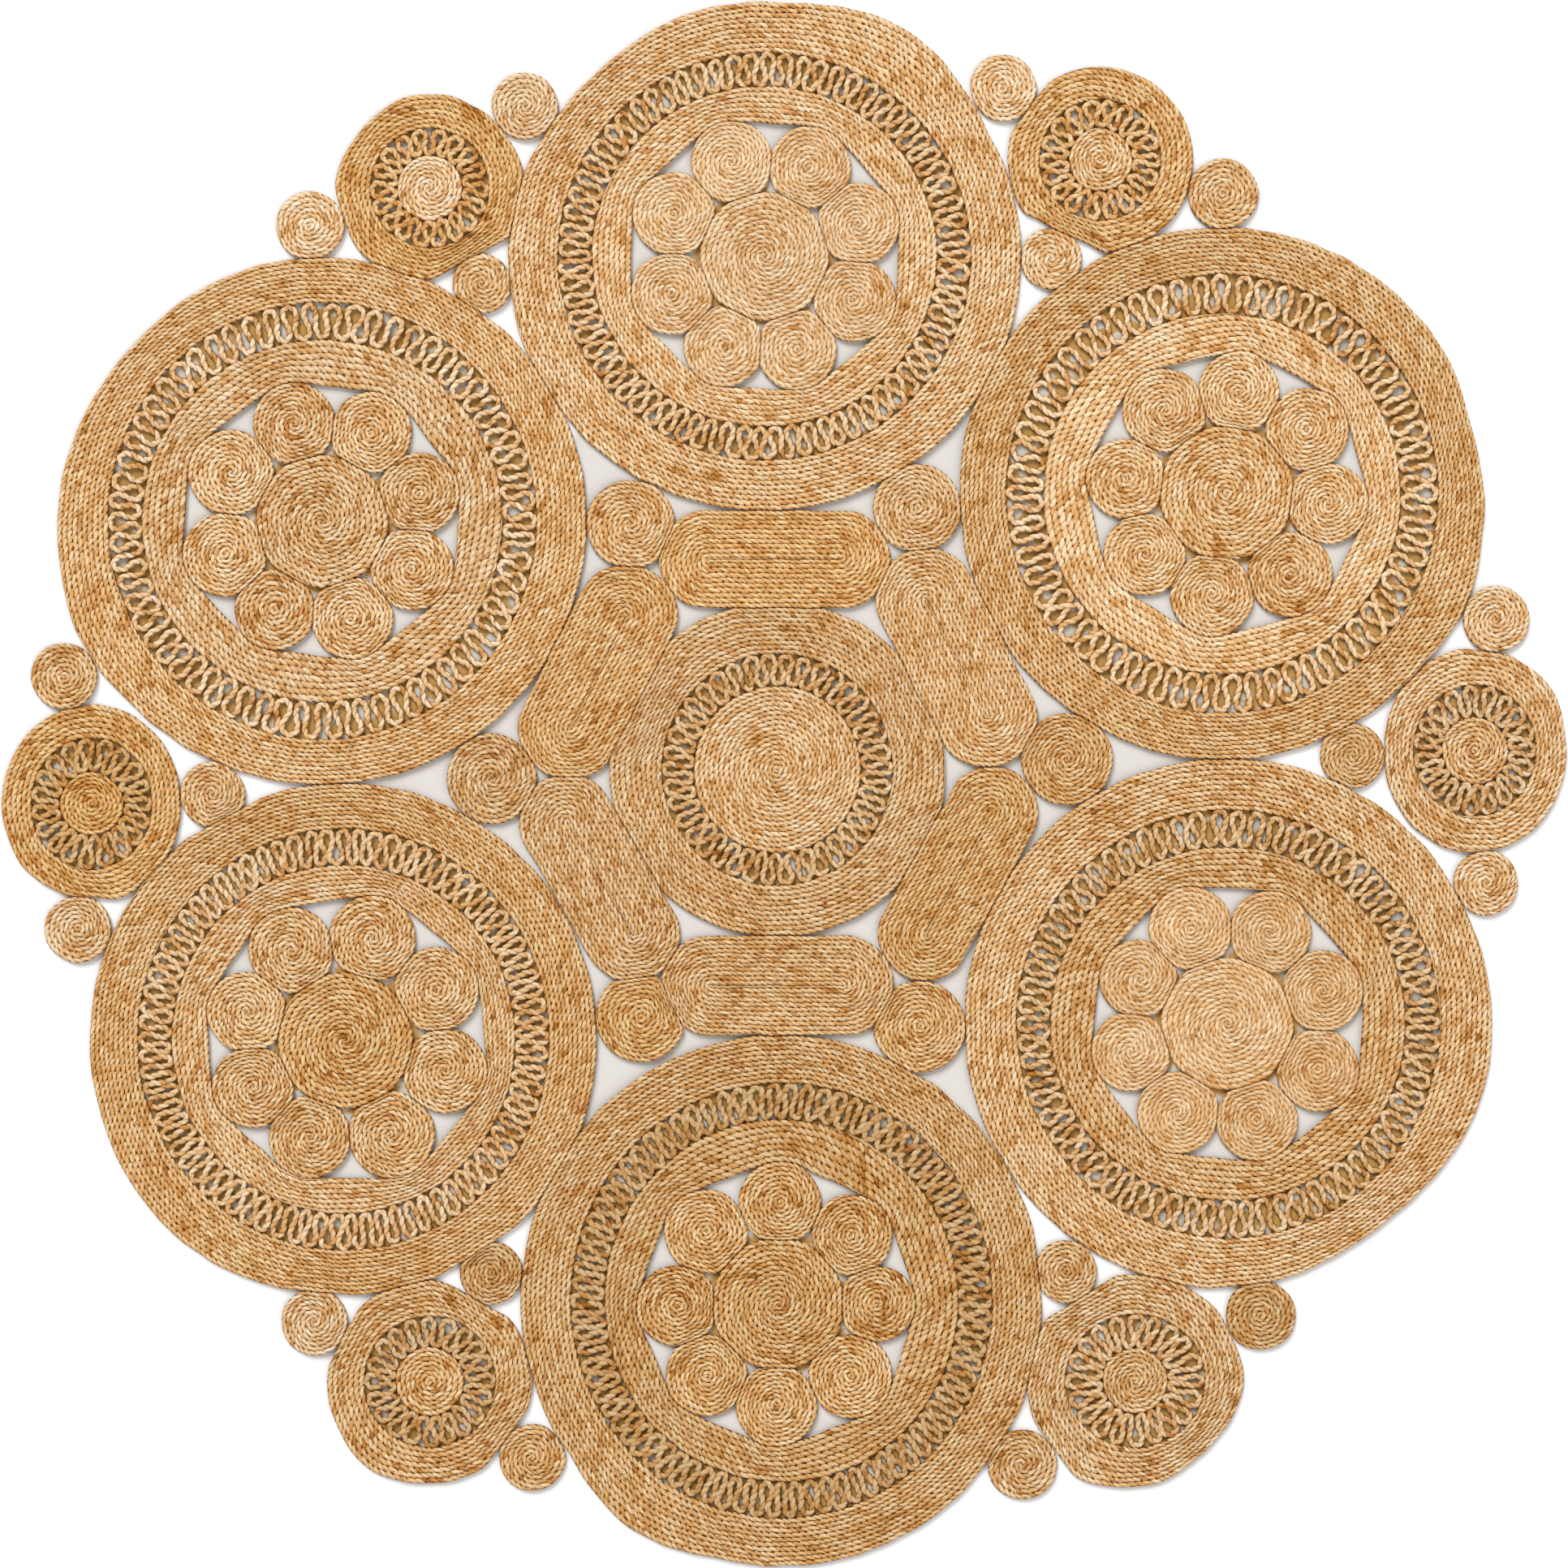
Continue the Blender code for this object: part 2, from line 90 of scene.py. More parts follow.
# The layout has the same driving sizes as the solids. Radii are along X, then along Y.
# A tone is lightness, then warmth; contrast is that of the petals and the core.
medallions = {
    "north": {
        "middle": (-0.023, 0.618), "rim": (0.301, 0.298),
        "loops": (0.242, 0.239), "band": (0.202, 0.199),
        "coreShift": (0, 0), "coreRadius": 0.071,
        "petalAngles": (109, 63, 19, 334, 289, 246, 202, 155),
        "petalRadii": (0.047, 0.047, 0.047, 0.0475, 0.046, 0.046, 0.047, 0.0475),
        "loopCount": 69, "contrast": 0.6,
        "tones": {
            "border": (1.05, -0.4), "loops": (0.96, -0.6), "band": (1.07, -0.6),
            "core": (1.03, -1.0), "petals": (1.08, -1.2),
        },
    },
    "northeast": {
        "middle": (0.513, 0.340), "rim": (0.308, 0.312),
        "loops": (0.253, 0.257), "band": (0.209, 0.211),
        "coreShift": (0.005, 0.001), "coreRadius": 0.074,
        "petalAngles": (127, 83, 38, 354, 308, 262, 217, 172),
        "petalRadii": (0.048, 0.0465, 0.0475, 0.0465, 0.0485, 0.048, 0.047, 0.046),
        "loopCount": 60, "contrast": 1.0,
        "tones": {
            "border": (0.96, 0.4), "loops": (1.02, -1.0), "band": (1.09, -0.7),
            "core": (1.03, -0.1), "petals": (1.06, -0.3),
        },
    },
    "southeast": {
        "middle": (0.520, -0.281), "rim": (0.309, 0.311),
        "loops": (0.248, 0.251), "band": (0.208, 0.207),
        "coreShift": (-0.001, 0), "coreRadius": 0.073,
        "petalAngles": (111, 65, 19, 333, 287, 241, 196, 153),
        "petalRadii": (0.048, 0.047, 0.0465, 0.0475, 0.0465, 0.047, 0.0455, 0.0445),
        "loopCount": 66, "loopCord": 0.0038, "contrast": 0.45,
        "tones": {
            "border": (0.99, -0.2), "loops": (0.87, -0.3), "band": (0.9, 0.4),
            "core": (1.02, -0.8), "petals": (1.0, -0.5),
        },
    },
    "south": {
        "middle": (-0.003, -0.605), "rim": (0.306, 0.311),
        "loops": (0.247, 0.255), "band": (0.207, 0.212),
        "coreShift": (-0.004, -0.004), "coreRadius": 0.073,
        "petalAngles": (89, 43, 0, 315, 269, 225, 181, 135),
        "petalRadii": (0.047, 0.0465, 0.044, 0.048, 0.047, 0.0465, 0.0465, 0.048),
        "loopCount": 78, "loopCord": 0.0041, "contrast": 1.3,
        "tones": {
            "border": (0.88, 0.5), "loops": (0.71, 0.7), "band": (0.83, 0.7),
            "core": (0.88, 0.8), "petals": (0.93, 0.6),
        },
    },
    "southwest": {
        "middle": (-0.516, -0.299), "rim": (0.297, 0.300),
        "loops": (0.241, 0.247), "band": (0.201, 0.204),
        "coreShift": (0.002, -0.001), "coreRadius": 0.075,
        "petalAngles": (121, 75, 29, 343, 296, 250, 207, 164),
        "petalRadii": (0.049, 0.0495, 0.0485, 0.0485, 0.0495, 0.047, 0.047, 0.046),
        "loopCount": 76, "contrast": 1.3,
        "tones": {
            "border": (0.94, 0.5), "loops": (0.92, -0.7), "band": (0.98, -0.2),
            "core": (0.92, 0.8), "petals": (0.97, 0.1),
        },
    },
    "northwest": {
        "middle": (-0.541, 0.308), "rim": (0.310, 0.309),
        "loops": (0.251, 0.256), "band": (0.211, 0.212),
        "coreShift": (0, 0), "coreRadius": 0.073,
        "petalAngles": (106, 61, 16, 332, 287, 242, 199, 152),
        "petalRadii": (0.047, 0.0465, 0.0465, 0.0475, 0.047, 0.046, 0.0485, 0.049),
        "loopCount": 62, "contrast": 1.3,
        "tones": {
            "border": (1.01, 0.2), "loops": (1.01, -1.3), "band": (0.97, -0.5),
            "core": (0.97, -0.1), "petals": (1.03, -0.3),
        },
    },
}
outlinePoints = 720
loopCord = 0.0037  # radius of the looped cord in most rings
innerBandTurns = 7
borderContrast = 1.32
petalVariety = 0.35  # in colour, among the petals of a medallion
petalPress = 0.0015  # how far a petal is pushed into the core
coreSwell = 0.005  # how far a core spreads past its round where nothing holds it
petalSwell = 0.0015

centrePiece = {
    "middle": (-0.008, 0.017),
    "rim": (0.197, 0.196),
    "loops": (0.135, 0.136),
    "coilRadius": 0.0975,
    "loopCount": 38,
    "tones": {"band": (0.92, 0.0), "loops": (0.85, 0.0), "coil": (1.01, -0.4)},
}

# Middle, half length, half width, lean in degrees from +X, tone.
ovals = {
    "north": (-0.011, 0.263, 0.136, 0.058, 0, (1.0, 0.9)),
    "northeast": (0.202, 0.148, 0.137, 0.061, -63, (1.01, -0.2)),
    "southeast": (0.204, -0.105, 0.136, 0.055, 61, (0.92, 0.9)),
    "south": (-0.008, -0.236, 0.137, 0.059, 0, (0.94, 0.2)),
    "southwest": (-0.216, -0.110, 0.132, 0.057, -60, (0.93, -0.1)),
    "northwest": (-0.218, 0.131, 0.134, 0.061, 63, (0.97, 0.7)),
}

# Middle, radius, tone.
gapCoils = {
    "north_northwest": (-0.1795, 0.304, 0.0525, (1.0, 0.0)),
    "north_northeast": (0.156, 0.323, 0.052, (0.98, -0.2)),
    "east": (0.331, 0.029, 0.054, (0.92, 0.7)),
    "south_southeast": (0.159, -0.284, 0.054, (0.95, 0.5)),
    "south_southwest": (-0.168, -0.273, 0.053, (0.91, 1.0)),
    "west": (-0.342, 0.006, 0.053, (0.9, 0.1)),
}

rosettes = {
    "north_northwest": {
        "middle": (-0.415, 0.698), "rim": (0.110, 0.110), "loops": (0.070, 0.070),
        "coreRadius": 0.038, "loopCount": 18,
        "rimCoils": ((-0.3035, 0.794, 0.039), (-0.555, 0.654, 0.040), (-0.354, 0.586, 0.035)),
        "tones": {"band": (0.97, 1.2), "loops": (0.92, 0.6), "core": (1.15, -1.9)},
        "rimTones": ((1.08, -1.6), (1.13, -1.8), (1.01, 0.0)),
    },
    "north_northeast": {
        "middle": (0.3705, 0.731), "rim": (0.109, 0.109), "loops": (0.071, 0.071),
        "coreRadius": 0.037, "loopCount": 18,
        "rimCoils": ((0.257, 0.815, 0.039), (0.514, 0.691, 0.0415), (0.313, 0.615, 0.036)),
        "tones": {"band": (0.98, 0.8), "loops": (0.93, 0.4), "core": (1.07, -0.5)},
        "rimTones": ((1.14, -1.5), (1.02, -0.3), (1.1, -1.0)),
    },
    "east": {
        "middle": (0.809, 0.039), "rim": (0.107, 0.120), "loops": (0.072, 0.077),
        "coreRadius": 0.039, "loopCount": 19,
        "rimCoils": ((0.834, 0.193, 0.039), (0.822, -0.116, 0.038), (0.666, 0.033, 0.038)),
        "tones": {"band": (1.01, -0.3), "loops": (0.85, -0.5), "core": (0.98, -0.1)},
        "rimTones": ((1.09, -1.3), (1.06, -1.0), (0.9, 0.6)),
    },
    "south_southeast": {
        "middle": (0.411, -0.699), "rim": (0.127, 0.125), "loops": (0.082, 0.078),
        "coreRadius": 0.038, "loopCount": 20,
        "rimCoils": ((0.558, -0.622, 0.041), (0.279, -0.797, 0.041), (0.330, -0.571, 0.037)),
        "tones": {"band": (0.93, -0.3), "loops": (0.87, -0.6), "core": (0.91, 0.3)},
        "rimTones": ((0.8, 0.9), (0.91, -0.1), (0.95, -0.3)),
    },
    "south_southwest": {
        "middle": (-0.415, -0.700), "rim": (0.120, 0.119), "loops": (0.077, 0.077),
        "coreRadius": 0.040, "loopCount": 20,
        "rimCoils": ((-0.550, -0.630, 0.039), (-0.295, -0.789, 0.039), (-0.343, -0.573, 0.037)),
        "tones": {"band": (0.9, 0.4), "loops": (0.76, 0.3), "core": (0.95, 0.3)},
        "rimTones": ((0.99, -1.2), (0.9, 0.6), (0.82, 0.7)),
    },
    "west": {
        "middle": (-0.811, -0.023), "rim": (0.105, 0.116), "loops": (0.071, 0.077),
        "coreRadius": 0.037, "loopCount": 19,
        "rimCoils": ((-0.843, 0.126, 0.039), (-0.827, -0.170, 0.039), (-0.6695, -0.012, 0.0385)),
        "tones": {"band": (0.93, 1.2), "loops": (0.77, 1.0), "core": (0.92, 1.8)},
        "rimTones": ((0.96, 0.2), (1.0, -0.8), (0.98, -0.2)),
    },
}

# Where a rim is fuller (+) or flatter (-) than its ellipse:
# direction and half width in degrees, then height.
bulges = {
    "medallion_north": ((58, 30, 0.014), (135, 35, -0.008)),
    "medallion_northeast": ((15, 20, -0.006), (336, 18, 0.006)),
    "medallion_southeast": ((307, 42, -0.014),),
    "medallion_south": ((236, 24, 0.010),),
    "medallion_southwest": ((230, 40, 0.004),),
    "medallion_northwest": ((140, 45, -0.007), (206, 22, 0.006)),
    "rosette_north_northwest": ((140, 40, -0.005),),
    "rosette_east": ((35, 30, 0.004),),
    "rosette_south_southeast": ((315, 50, -0.010), (240, 25, 0.007)),
    "rosette_south_southwest": ((235, 35, 0.005),),
    "rosette_west": ((245, 30, -0.004),),
}

# How easily a piece flattens against a neighbour, beside the neighbour's own.
largeGive = 1.0
smallGive = 1.5
centreGive = 6.0
coreGive = 0.5
rosetteShare = 0.85  # of the overlap between a rosette's band and its own small coils
pressSoftness = 0.0012  # of the two ends of a flat
hullReach = 0.2  # least cosine between a direction and a tangent's that counts for it
# Columns of a coil, compared with those of a band of the same outline.
columnShare = {"petal": 0.8, "core": 0.7, "centre": 0.75, "gap": 0.8, "rosette": 0.85, "rim": 0.9}


# A round piece starts and ends at one point; an oval's start is a straight line.
def makeShape(start, radii, give, end=None):
    end = start if end is None else end
    return {"start": np.array(start), "end": np.array(end), "radii": radii, "give": give}


def listShapes():
    shapes = {}
    for name, m in medallions.items():
        shapes["medallion_" + name] = makeShape(m["middle"], m["rim"], largeGive)
    for name, (x, y, halfLength, halfWidth, lean, tone) in ovals.items():
        reach = halfLength - halfWidth
        along = reach * raysOf(np.radians(lean))
        start, end = np.array([x, y]) - along, np.array([x, y]) + along
        shapes["oval_" + name] = makeShape(start, (halfWidth, halfWidth), largeGive, end)
    for name, (x, y, radius, tone) in gapCoils.items():
        shapes["gap_" + name] = makeShape((x, y), (radius, radius), smallGive)
    for name, r in rosettes.items():
        shapes["rosette_" + name] = makeShape(r["middle"], r["rim"], smallGive)
        for number, (x, y, radius) in enumerate(r["rimCoils"]):
            shapes[f"rim_{name}_{number}"] = makeShape((x, y), (radius, radius), smallGive)
    shapes["centre"] = makeShape(centrePiece["middle"], centrePiece["rim"], centreGive)
    return shapes


# Directions spread evenly round a circle, and the unit vectors of any directions.
def evenAngles(count):
    return np.arange(count) * (2 * np.pi / count)


def raysOf(angles):
    return np.stack([np.cos(angles), np.sin(angles)], axis=-1)


# Radius of an ellipse in one direction: 1 over the length of (cos a / rx, sin a / ry).
def ellipseRadius(radii, angle):
    return 1 / np.hypot(np.cos(angle) / radii[0], np.sin(angle) / radii[1])


# Height of the bulges: height times cos squared, over the half width on each side.
def swell(name, angles):
    total = np.zeros(np.shape(angles))
    for direction, halfWidth, height in bulges.get(name, ()):
        away = (np.degrees(angles) - direction + 180) % 360 - 180
        away = np.minimum(np.abs(away) / halfWidth, 1)
        total = total + height * np.cos(away * np.pi / 2) ** 2
    return total


# The straight line that one piece is flattened against by another: a point on it, and
# its outward normal, along the shortest way between the two starts. The two share
# their overlap by how easily they give.
def pressLine(one, other, oneName="", otherName="", share=None):
    steps = np.linspace(0, 1, 101)[:, None]
    onOne = one["start"] + (one["end"] - one["start"]) * steps
    onOther = other["start"] + (other["end"] - other["start"]) * steps
    apart = np.linalg.norm(onOne[:, None] - onOther[None], axis=2)
    i, j = np.unravel_index(apart.argmin(), apart.shape)
    normal = (onOther[j] - onOne[i]) / apart[i, j]
    angle = np.arctan2(normal[1], normal[0])
    reach = ellipseRadius(one["radii"], angle) + swell(oneName, angle)
    otherReach = ellipseRadius(other["radii"], angle) + swell(otherName, angle + np.pi)
    overlap = reach + otherReach - apart[i, j]
    if overlap < 0:
        return None
    if share is None:
        share = one["give"] / (one["give"] + other["give"])
    return onOne[i] + normal * (reach - overlap * share), normal


# Each point past a line goes back to it: depth = half of d + sqrt(d squared + the
# softness squared), so that the flat's two ends are rounded.
def pressed(points, lines):
    for point, normal in filter(None, lines):
        past = (points - point) @ normal
        depth = (past + np.hypot(past, pressSoftness)) / 2
        points = points - depth[:, None] * normal
    return points


def ringPoints(middle, radii):
    return np.array(middle) + np.array(radii) * raysOf(evenAngles(outlinePoints))


# Every line that flattens a piece, or None for a neighbour that does not touch it.
def pressLinesOf(name):
    shares = {("rosette", "rim"): rosetteShare, ("rim", "rosette"): 1 - rosetteShare}
    lines = []
    for otherName, other in shapes.items():
        if otherName != name:
            share = shares.get((name.split("_")[0], otherName.split("_")[0]))
            lines.append(pressLine(shapes[name], other, name, otherName, share))
    return lines


# The outline of a round piece: its ellipse with bulges, flattened against every
# neighbour that it touches.
def outlineOf(name):
    shape = shapes[name]
    points = ringPoints((0, 0), shape["radii"])
    outward = points / np.linalg.norm(points, axis=1)[:, None]
    points = shape["start"] + points + outward * swell(name, evenAngles(outlinePoints))[:, None]
    return pressed(points, pressLinesOf(name))


# The line that a cord takes when it is wound round the petals: in each direction, the
# furthest that any point reaches, then the distance where tangents from all directions
# meet, which is the hull's edge.
def hullLine(points, middle):
    rays = raysOf(evenAngles(outlinePoints))
    support = (rays @ (points - middle).T).max(axis=1)
    facing = rays @ rays.T
    reach = np.where(facing > hullReach, support[:, None] / np.maximum(facing, hullReach), np.inf)
    return middle + rays * reach.min(axis=0)[:, None]


def areaOf(points):
    x, y = points.T
    return 0.5 * abs(np.dot(x, np.roll(y, -1)) - np.dot(y, np.roll(x, -1)))


def lengthOf(points):
    return np.linalg.norm(np.roll(points, -1, axis=0) - points, axis=1).sum()


# Wound cord.
cord = {
    "pitch": 0.0056,  # from one turn to the next
    "rows": 4,  # faces across one turn
    "height": 0.008,
    "valley": 0.65,  # height of the groove between two turns, as a share
    "step": 0.0064,  # along the outermost turn
    "jogWidth": 0.16,  # of a turn, where each turn moves over to the next
    "footInset": 0.0005,
    "footHeight": 0.0004,
}


# Top of wound cord. The spiral coordinate is s = turns * p - g, where p runs from 0 on
# the inner line to 1 on the outer one, and g grows from 0 to 1 round the piece. One
# strip of faces runs where s goes from k to k + 1, for each whole k, and it is
# squeezed where the cord starts and ends. Height = valley + (1 - valley) * a half
# circle across the strip. A point is at inner + (mean - inner) * p + (outer - mean) *
# p cubed: the mean line is round, so the outline's flats fade away inwards.
def windCord(outer, inner, turns, coil, meanOuter):
    count = len(outer)
    outer, inner, meanOuter = (np.vstack([a, a[:1]]) for a in (outer, inner, meanOuter))
    around = np.arange(count + 1) / count
    jog = np.clip((around - 0.5) / cord["jogWidth"] + 0.5, 0, 1)
    jog = jog * jog * (3 - 2 * jog)
    strips = np.arange(-1, turns + 1)[:, None]

    # in a coil the share decides how much of the step is a jog, so it is found in rounds
    def shareAt(s):
        share = np.clip(s / turns, 0, 1) + 0 * around
        for _ in range(12):
            blend = np.clip(share, 0, 1) ** 2 if coil else 1
            share = (s + around + (jog - around) * blend) / turns
        return np.clip(share, 0, 1)

    edges = shareAt(strips)
    low, high = edges[:-1], edges[1:]
    width = (high - low) * turns
    across = (np.arange(cord["rows"]) / cord["rows"])[None, :, None]
    share = low[:, None] + across * (high - low)[:, None]
    rise = np.sqrt(1 - (2 * across - 1) ** 2) * np.sqrt(np.clip(width, 0, 1))[:, None]
    height = cord["height"] * (cord["valley"] + (1 - cord["valley"]) * rise)
    share = np.concatenate([share.reshape(-1, count + 1), high[-1:]])
    height = np.concatenate(
        [height.reshape(-1, count + 1), np.full((1, count + 1), height.min())]
    )

    def place(share):
        share = share[..., None]
        return inner + (meanOuter - inner) * share + (outer - meanOuter) * share**3

    points = np.concatenate([place(share), height[..., None]], axis=-1)
    middle = place((low + high) / 2)
    run = np.linalg.norm(np.diff(middle, axis=1), axis=-1)
    run = np.concatenate([np.zeros((len(run), 1)), np.cumsum(run, axis=1)], axis=1)
    run = run + np.concatenate([[0], np.cumsum(run[:-1, -1])])[:, None]
    run = np.repeat(run, cord["rows"], axis=0)
    turnsAcross = (np.arange(len(run) + 1) / cord["rows"])[:, None] + 0 * around
    cornerU = np.stack([run[:, :-1], run[:, 1:], run[:, 1:], run[:, :-1]], axis=-1)
    return points, cornerU.reshape(-1, 4), gridCorners(turnsAcross), place


# The four values at the corners of each face of a grid.
def gridCorners(values):
    return np.stack(
        [values[:-1, :-1], values[:-1, 1:], values[1:, 1:], values[1:, :-1]], axis=-1
    ).reshape(-1, 4)


# A whole wound piece: the cord on top, and underneath a flat face of the same turns
# that meets the top at the inner and the outer edge. The map along the cord runs the
# other way on a piece wound clockwise, so that every cord has the same twist.
def woundGrids(outer, inner, turns, coil, meanOuter):
    points, cornerU, cornerV, place = windCord(outer, inner, turns, coil, meanOuter)
    spin = np.cross(outer[:-1] - inner.mean(axis=0), np.diff(outer, axis=0)).sum()
    if spin > 0:
        cornerU = -cornerU
    around = np.arange(points.shape[1]) / (points.shape[1] - 1)
    inset = cord["footInset"] / (cord["pitch"] * turns)
    shares = [1, 1 - inset, 0.5, 0] if coil else [1, 1 - inset, 0.5, inset, 0]
    shares = np.array(shares)
    heights = np.full(len(shares), cord["footHeight"])
    heights[0] = points[-1, 0, 2]
    if not coil:
        heights[-1] = points[0, 0, 2]
    flat = place(shares[:, None] + 0 * around)
    lift = np.broadcast_to(heights[:, None, None], flat.shape[:2] + (1,))
    under = np.concatenate([flat, lift], axis=-1)
    underU = np.linalg.norm(np.diff(flat[1], axis=0), axis=1)
    underU = np.concatenate([[0], np.cumsum(underU)]) + 0 * shares[:, None]
    underV = shares[:, None] * turns - around
    underside = (under, gridCorners(underU), gridCorners(underV), False)
    return [(points, cornerU, cornerV, True), underside]


# Looped cord.
loops = {
    "height": 0.0079,
    "sides": 8,
    "steps": 36,  # points along one loop
    "lobes": 0.18,  # how far the two strands stand out of the round
    "lay": 0.0088,  # from strand to strand
    "overlap": 0.0014,  # how far a bend tucks into the band beside it
    "rounder": 0.05,  # how much rounder a bulb is than a plain wave
    "pinch": (0.195, 0.055),  # of a loop, middle value and how far it strays
    "swing": 0.03,
    "lean": 0.06,
    "jitter": 0.07,
    "shorter": 0.07,
}


# Smooth noise round a ring: a few waves with random sizes, in -1 to 1.
def ringNoise(random, turns, highest):
    waves = np.arange(1, highest + 1)
    size = random.normal(size=len(waves)) / np.sqrt(len(waves))
    phase = random.uniform(0, 2 * np.pi, len(waves))
    return np.tanh((size * np.cos(2 * np.pi * np.outer(turns, waves) + phase)).sum(axis=1))


# The middle line of the looped cord. At loop p of count, the distance from the middle
# is the ring's mid line plus reach * cos(2 pi p), with a little of cos(6 pi p) that
# makes the bulbs rounder. The direction is p / count of a turn plus a sway, in which
# pinch * sin(4 pi p) draws the legs together below each bulb.
def loopLine(middle, outerRadii, innerRadii, count, radius, random):
    steps = count * loops["steps"]
    p = np.arange(steps) / loops["steps"]
    turns = p / count
    wave = 2 * np.pi * p
    pinch = loops["pinch"][0] + loops["pinch"][1] * ringNoise(random, turns, count // 2)
    swing = loops["swing"] * ringNoise(random, turns, count // 3)
    lean = loops["lean"] * ringNoise(random, turns, count // 4)
    jitter = loops["jitter"] * ringNoise(random, turns, count // 2)
    sway = pinch * np.sin(2 * wave) + swing * np.sin(wave) + lean * np.cos(wave) + jitter
    angle = 2 * np.pi * (p + sway) / count
    outerReach = ellipseRadius(outerRadii, angle) - radius + loops["overlap"]
    innerReach = ellipseRadius(innerRadii, angle) + radius - loops["overlap"]
    reach = (outerReach - innerReach) / 2
    reach = reach * (1 - loops["shorter"] * ringNoise(random, turns, count // 2) ** 2)
    rounder = loops["rounder"]
    bulb = (1 - rounder) * np.cos(wave) + rounder * np.cos(3 * wave)
    distance = (outerReach + innerReach) / 2 + reach * bulb
    flat = np.array(middle) + distance[:, None] * raysOf(angle)
    return np.column_stack([flat, np.full(steps, loops["height"] / 2)])


# A closed tube round a line that lies flat: thickness * (1 - lobes * cos 2(a + twist))
# to the sides, where the twist makes half a turn in each lay, so that the two strands
# stand out. Up and down it has the cord's height in place of its thickness.
def tubeGrid(line, thickness):
    ahead = np.roll(line, -1, axis=0) - np.roll(line, 1, axis=0)
    ahead[:, 2] = 0
    ahead = ahead / np.linalg.norm(ahead, axis=1)[:, None]
    side = np.stack([ahead[:, 1], -ahead[:, 0], 0 * ahead[:, 0]], axis=1)
    stretch = np.linalg.norm(np.roll(line, -1, axis=0) - line, axis=1)
    run = np.concatenate([[0], np.cumsum(stretch)])
    line, side = (np.vstack([a, a[:1]]) for a in (line, side))
    lays = round(run[-1] / loops["lay"])
    angle = np.arange(loops["sides"] + 1)[:, None] * (2 * np.pi / loops["sides"])
    twist = np.pi * lays * run / run[-1]
    bulge = 1 - loops["lobes"] * np.cos(2 * (angle + twist))
    out = thickness * bulge * np.cos(angle)
    up = loops["height"] / 2 / (1 + loops["lobes"]) * bulge * np.sin(angle)
    points = line[None] + side[None] * out[..., None] + np.array([0, 0, 1]) * up[..., None]
    across = 2 * np.arange(loops["sides"] + 1)[:, None] / loops["sides"]
    return points, run + 0 * across, across + 0 * run, run[-1] / lays


# Free shares of the OFBake map: at its edges, and beside each half.
bake = {"margin": 0.006, "gap": 0.012}
leastFace = 1e-9  # twice the smallest area of a face
joinDistance = 2e-5
rippleRandom = np.random.default_rng(5)
# length, size, direction, phase
ripples = [
    (length, 0.00022, *rippleRandom.uniform(0, 2 * np.pi, 2))
    for length in np.linspace(0.024, 0.075, 10)
]


# Hand-sewn cord is never quite even. Every point moves sideways by a sum of sine waves,
# each with its own length, size and direction; they are the same for all pieces, so
# neighbours stay together.
def rippled(points):
    moved = points.copy()
    for length, size, direction, phase in ripples:
        along = points[:, 0] * np.cos(direction) + points[:, 1] * np.sin(direction)
        wave = size * np.sin(2 * np.pi * along / length + phase)
        moved[:, 0] -= wave * np.sin(direction + phase)
        moved[:, 1] += wave * np.cos(direction + phase)
    return moved


# One object from several grids. Its first map, cord, holds metres along the cord and
# turns across it. OFBake lays the top and the underside flat side by side.
def makePiece(name, grids, material, node):
    points = np.concatenate([g[0].reshape(-1, 3) for g in grids])
    faces, start = [], 0
    for grid, _, _, _ in grids:
        rows, columns = grid.shape[:2]
        faces.append(gridCorners(start + np.arange(rows * columns).reshape(rows, columns)))
        start += rows * columns
    onTop = np.concatenate([np.full(len(f), g[3]) for f, g in zip(faces, grids)])
    faces = np.concatenate(faces)
    cornerU = np.concatenate([g[1] for g in grids])
    cornerV = np.concatenate([g[2] for g in grids])
    points = rippled(points)
    corners = points[faces]
    first, second = corners[:, 2] - corners[:, 0], corners[:, 3] - corners[:, 1]
    keep = np.linalg.norm(np.cross(first, second), axis=1) > leastFace
    faces, cornerU, cornerV, onTop = (a[keep] for a in (faces, cornerU, cornerV, onTop))

    low, high = points.min(axis=0), points.max(axis=0)
    flat = (points[faces][..., :2] - low[:2]) / (high[:2] - low[:2])
    bakeU = bake["margin"] + flat[..., 0] * (0.5 - bake["gap"])
    bakeU = bakeU + np.where(onTop, 0, 0.5)[:, None]
    bakeV = bake["margin"] + flat[..., 1] * (1 - 2 * bake["margin"])

    mesh = bpy.data.meshes.new(name)
    mesh.from_pydata(points, [], faces)
    for layer, u, v in (("cord", cornerU, cornerV), ("OFBake", bakeU, bakeV)):
        uv = mesh.uv_layers.new(name=layer)
        uv.data.foreach_set("uv", np.stack([u, v], axis=-1).ravel())
    mesh.uv_layers["cord"].active_render = True
    work = bmesh.new()
    work.from_mesh(mesh)
    bmesh.ops.remove_doubles(work, verts=work.verts, dist=joinDistance)
    bmesh.ops.dissolve_degenerate(work, edges=work.edges, dist=1e-6)
    bmesh.ops.recalc_face_normals(work, faces=work.faces)
    work.to_mesh(mesh)
    work.free()
    mesh.shade_smooth()
    mesh.materials.append(material)
    made = addObject(name, mesh)
    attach(made, "root")
    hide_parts(node)
    return made


def columnsFor(outline):
    return int(np.ceil(lengthOf(outline) / cord["step"] / 4) * 4)


def turnedAngles(count, start, flip):
    angles = evenAngles(count) + start
    return angles[::-1] if flip else angles


